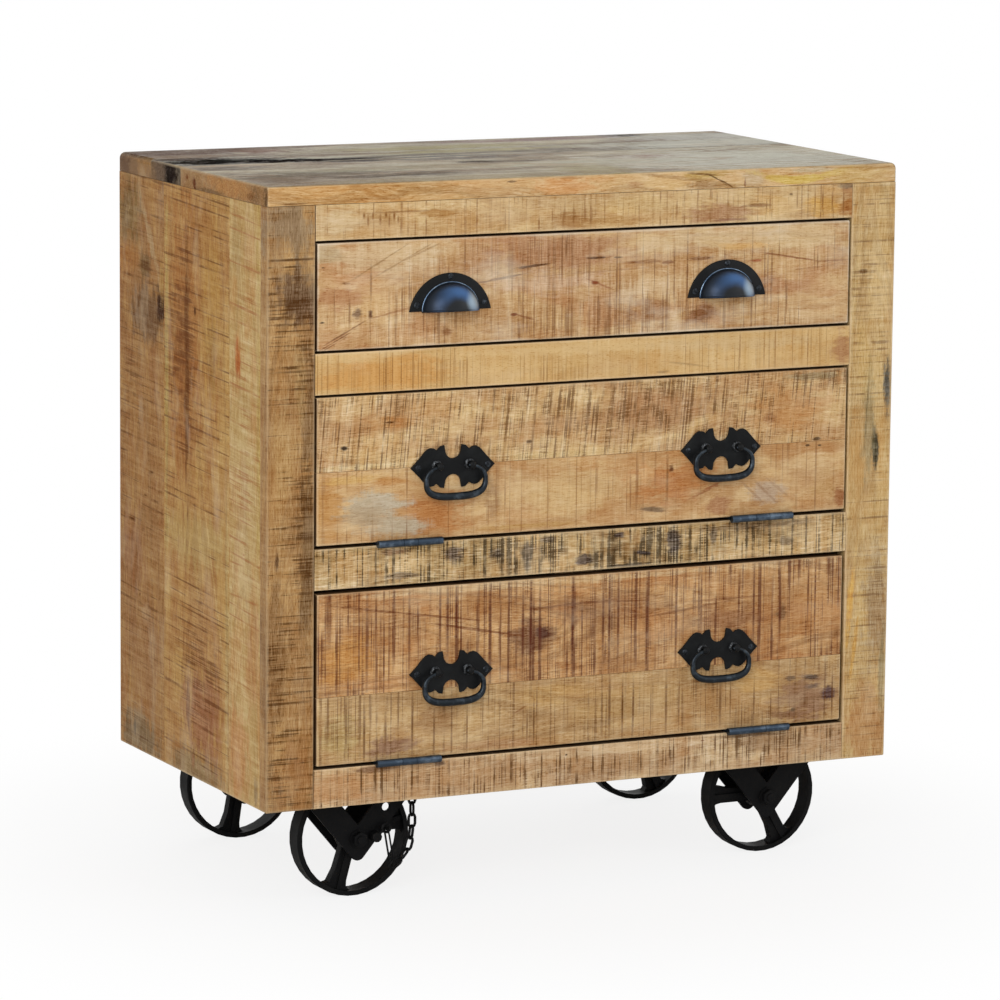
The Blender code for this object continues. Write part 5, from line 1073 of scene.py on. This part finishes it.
def bailHandle(node):
    low, high = corners(node)
    look = bailLook
    top = high.z - look["eye"]
    centre = Vector(((low.x + high.x) / 2, (low.y + high.y) / 2, top))
    inner = look["eyeSpread"] / 2 - look["eyeRadius"]
    reach = look["halfWidth"] - inner
    # one half of the bar's middle line, from the middle of the grip round to the eye
    half = []
    for i in range(look["steps"] + 1):
        t = math.pi / 2 * i / look["steps"]
        out, down = math.sin(t) ** look["squareness"], math.cos(t) ** look["squareness"]
        half.append((look["halfWidth"] * out, -look["shoulder"] - (look["drop"] - look["shoulder"]) * down))
    for i in range(1, look["steps"] // 2 + 1):
        t = math.pi / 2 * i / (look["steps"] // 2)
        half.append((inner + reach * math.cos(t), -look["shoulder"] * (1 - math.sin(t))))
    way = [(-x, z) for x, z in reversed(half[1:])] + half
    line = bpy.data.curves.new(node + "_line", "CURVE")
    line.dimensions = "3D"
    line.bevel_depth = 1
    line.bevel_resolution = 6
    line.use_fill_caps = True
    spline = line.splines.new("POLY")
    spline.points.add(len(way) - 1)
    last = len(half) - 1
    for i, (x, z) in enumerate(way):
        away = abs(i - last) / last
        thick = look["end"] + (look["grip"] - look["end"]) * math.cos(math.pi / 2 * away) ** look["taper"]
        for groove in look["grooves"]:
            if away < look["groovedShare"]:
                thick -= look["grooveDepth"] * max(0.0, 1 - abs(x - groove) / look["grooveWidth"])
        spline.points[i].co = (*(centre + Vector((x, 0, z))), 1)
        spline.points[i].radius = thick
    curve = bpy.data.objects.new(node + "_line", line)
    bpy.context.scene.collection.objects.link(curve)
    bpy.context.view_layer.update()
    made = bpy.data.meshes.new_from_object(curve.evaluated_get(bpy.context.evaluated_depsgraph_get()))
    bpy.data.objects.remove(curve)
    shape = bmesh.new()
    shape.from_mesh(made)
    bpy.data.meshes.remove(made)
    bmesh.ops.remove_doubles(shape, verts=shape.verts, dist=0.00001)
    bmesh.ops.recalc_face_normals(shape, faces=shape.faces)
    # the bar's blue-grey patches are partly wear and partly a painted highlight
    return finishPiece(shape, node + "_bar", iron["handledSteelWearAndHighlight"], node, "black_hardware", node, smooth=True)


def eyeBosses(name, places, body):
    # places: the middle of each boss on the face of its plate
    shape = bmesh.new()
    wide, tall = bailLook["bossRadius"], bailLook["bossHeight"]
    for place in places:
        bmesh.ops.create_uvsphere(shape, u_segments=36, v_segments=18, radius=1,
                                  matrix=Matrix.Translation(place) @ Matrix.Diagonal((wide, tall, wide, 1)))
    sliceShape(shape, places[0], (0, 1, 0))
    # the bosses' grey flecks are partly wear and partly a painted highlight
    return finishPiece(shape, name, iron["bossBlackWearAndHighlight"], body, "black_hardware", smooth=True)


for flap, side in flapSides:
    bailHandle(f"{flap}_bail_{side}")
    eye = corners(f"{flap}_bail_{side}")[1].z - bailLook["eye"]
    low, high = corners(f"{flap}_plate_{side}")
    face = high.y - screwLook["plateThick"]
    middle = (low + high) / 2
    screwHeads(f"{flap}_plate_screws_{side}", [
        (Vector((middle.x + bailLook["screwSpread"] / 2 * way, face, middle.z)), 0.5 + way * 0.9)
        for way in (-1, 1)], flap)
    eyeBosses(f"{flap}_plate_bosses_{side}", [
        Vector((middle.x + bailLook["eyeSpread"] / 2 * way, face, eye)) for way in (-1, 1)], flap)

# Cup pulls: a pressed half dome on a half round flange, three screws
cupLook = {
    "halfWidth": 0.0352, "height": 0.0322, "reach": 0.0236, "wall": 0.0014, "lipRise": 0.0022,
    "flangeRadius": 0.0515, "flangeDrop": 0.009, "flangeThick": 0.0016, "flangeEase": 0.0005,
    "beadRadius": 0.0008, "beadRise": 0.0004,
    "screws": ((-0.0417, 0.0075, 0.3), (0.0417, 0.0075, 1.2), (0.0, 0.0385, 0.8)),
    "lip": "222427", "rim": "1c2530", "shoulder": "426594", "paintedHighlightColour": "abbcc6", "shade": "0c0f14",
    # where the bow and the rim begin and end, and the painted highlight spot, in shares of the dome
    "bow": (0.34, 0.72), "rimFrom": (0.78, 0.97), "paintedHighlightAt": (0.66, 0, 0.34), "paintedHighlightFine": (2.6, 1, 2.2),
    "metallic": 0.7, "roughness": (0.36, 0.5),
}


def bluedDomeWithPaintedLight(name, foot):
    # pressed steel, hot blued: nearly black in the middle of the lip, a blue bow over the shoulder that is
    # partly the bluing and partly a painted reflection, slate at the rim, painted shade darkening the left,
    # and a painted highlight of pale steel on the right
    look = cupLook
    material, tree, shader = newMaterial(name)
    coords = addNode(tree, "TexCoord").outputs["Object"]
    cloud = addNoise(tree, coords, 60.0, 3.0)["Fac"]
    place = addVector(tree, "SUBTRACT", coords, foot)
    place = addVector(tree, "MULTIPLY", place, (1 / look["halfWidth"], 0, 1 / look["height"]))
    away = addMath(tree, "MULTIPLY_ADD", cloud, 0.16, addVector(tree, "LENGTH", place))
    away = addMath(tree, "SUBTRACT", away, 0.08)
    along = addNode(tree, "SeparateXYZ", {0: place}).outputs["X"]
    along = addRange(tree, along, -1.0, 0.2, 0.1, 1.0, "SMOOTHSTEP")
    # the blue bow: partly the bluing, partly a painted reflection, faded out toward the left
    blue = addMath(tree, "MULTIPLY", addRange(tree, away, *look["bow"], 0.0, 1.0, "SMOOTHSTEP"), along)
    colour = addMix(tree, blue, look["lip"], look["shoulder"])
    # painted shade: the dome darkened toward its left
    shaded = addMath(tree, "MULTIPLY_ADD", along, -0.75, 0.75)
    colour = addMix(tree, shaded, colour, look["shade"])
    # painted highlight: a pale steel spot on the right of the dome
    paintedHighlight = addVector(tree, "SUBTRACT", place, look["paintedHighlightAt"])
    paintedHighlight = addVector(tree, "LENGTH", addVector(tree, "MULTIPLY", paintedHighlight, look["paintedHighlightFine"]))
    paintedHighlight = addRange(tree, paintedHighlight, 0.2, 1.1, 0.75, 0.0, "SMOOTHSTEP")
    colour = addMix(tree, paintedHighlight, colour, look["paintedHighlightColour"])
    rim = addRange(tree, away, *look["rimFrom"], 0.0, 1.0, "SMOOTHSTEP")
    colour = addMix(tree, rim, colour, look["rim"])
    tree.links.new(colour, shader.inputs["Base Color"])
    shader.inputs["Metallic"].default_value = look["metallic"]
    tree.links.new(addRange(tree, cloud, 0.3, 0.7, *look["roughness"]), shader.inputs["Roughness"])
    addBump(tree, shader, addNoise(tree, coords, 1200.0, 1.0)["Fac"], 0.1, 0.0002)
    return material


def halfDome(name, centre, material, node):
    shape = bmesh.new()
    reach, height = cupLook["reach"], cupLook["height"]
    bmesh.ops.create_uvsphere(shape, u_segments=64, v_segments=32, radius=1)
    bmesh.ops.scale(shape, vec=(cupLook["halfWidth"], reach, height), verts=shape.verts)
    sliceShape(shape, (0, 0, 0), (0, 1, 0))
    sliceShape(shape, (0, 0, 0), (0, 0, -1))
    # the lip climbs a little toward its middle
    for vert in shape.verts:
        vert.co.z += cupLook["lipRise"] * -vert.co.y / reach * (1 - vert.co.z / height)
    bmesh.ops.translate(shape, vec=centre, verts=shape.verts)
    piece = finishPiece(shape, name, material, "drawer", "black_hardware", node, smooth=True)
    wall = piece.modifiers.new("wall", "SOLIDIFY")
    wall.thickness = cupLook["wall"]
    wall.offset = -1


def rolledBead(name, foot, node):
    # the bead where the dome meets its flange
    look = cupLook
    shape = bmesh.new()
    bmesh.ops.create_circle(shape, segments=12, radius=look["beadRadius"])
    bmesh.ops.translate(shape, vec=(look["halfWidth"], 0, 0), verts=shape.verts)
    bmesh.ops.spin(shape, geom=shape.verts[:] + shape.edges[:], cent=(0, 0, 0), axis=(0, 1, 0),
                   angle=-math.pi, steps=56, use_merge=False)
    bmesh.ops.holes_fill(shape, edges=shape.edges)
    bmesh.ops.recalc_face_normals(shape, faces=shape.faces)
    bmesh.ops.scale(shape, vec=(1, 1, look["height"] / look["halfWidth"]), verts=shape.verts)
    forward = Vector((0, look["flangeThick"] + look["beadRise"], 0))
    bmesh.ops.translate(shape, vec=foot - forward, verts=shape.verts)
    # its pale steel is a painted highlight along the bead
    finishPiece(shape, name, iron["beadPaintedHighlight"], "drawer", "black_hardware", node, smooth=True)


def cupFlange(name, foot, node):
    look = cupLook
    shape = bmesh.new()
    bmesh.ops.create_circle(shape, segments=96, radius=look["flangeRadius"], cap_ends=True)
    bmesh.ops.rotate(shape, matrix=Matrix.Rotation(math.pi / 2, 3, "X"), verts=shape.verts)
    bmesh.ops.translate(shape, vec=(0, 0, -look["flangeDrop"]), verts=shape.verts)
    sliceShape(shape, (0, 0, 0), (0, 0, -1))
    fresh = bmesh.ops.extrude_face_region(shape, geom=shape.faces[:])["geom"]
    fresh = [vert for vert in fresh if isinstance(vert, bmesh.types.BMVert)]
    bmesh.ops.translate(shape, vec=(0, -look["flangeThick"], 0), verts=fresh)
    bmesh.ops.recalc_face_normals(shape, faces=shape.faces)
    bmesh.ops.translate(shape, vec=foot, verts=shape.verts)
    middle = foot.y - look["flangeThick"] / 2
    front = [edge for edge in shape.edges if all(v.co.y < middle for v in edge.verts)]
    easeEdges(shape, front, look["flangeEase"], 2, False)
    flange = finishPiece(shape, name, iron["satinBlack"], "drawer", "black_hardware", node)
    flange.data.set_sharp_from_angle(angle=math.radians(50))


for side in ("left", "right"):
    node = "cup_pull_" + side
    low, high = corners(node)
    foot = Vector(((low.x + high.x) / 2, high.y, low.z))
    halfDome(f"cup_dome_{side}", foot, bluedDomeWithPaintedLight("blued_dome_painted_light_" + side, foot), node)
    rolledBead(f"cup_bead_{side}", foot, node)
    cupFlange(f"cup_flange_{side}", foot, node)
    face = foot.y - cupLook["flangeThick"]
    screwHeads(f"cup_screws_{side}", [
        (Vector((foot.x + x, face, foot.z + z)), turn) for x, z, turn in cupLook["screws"]], "drawer")
print("iron finished")
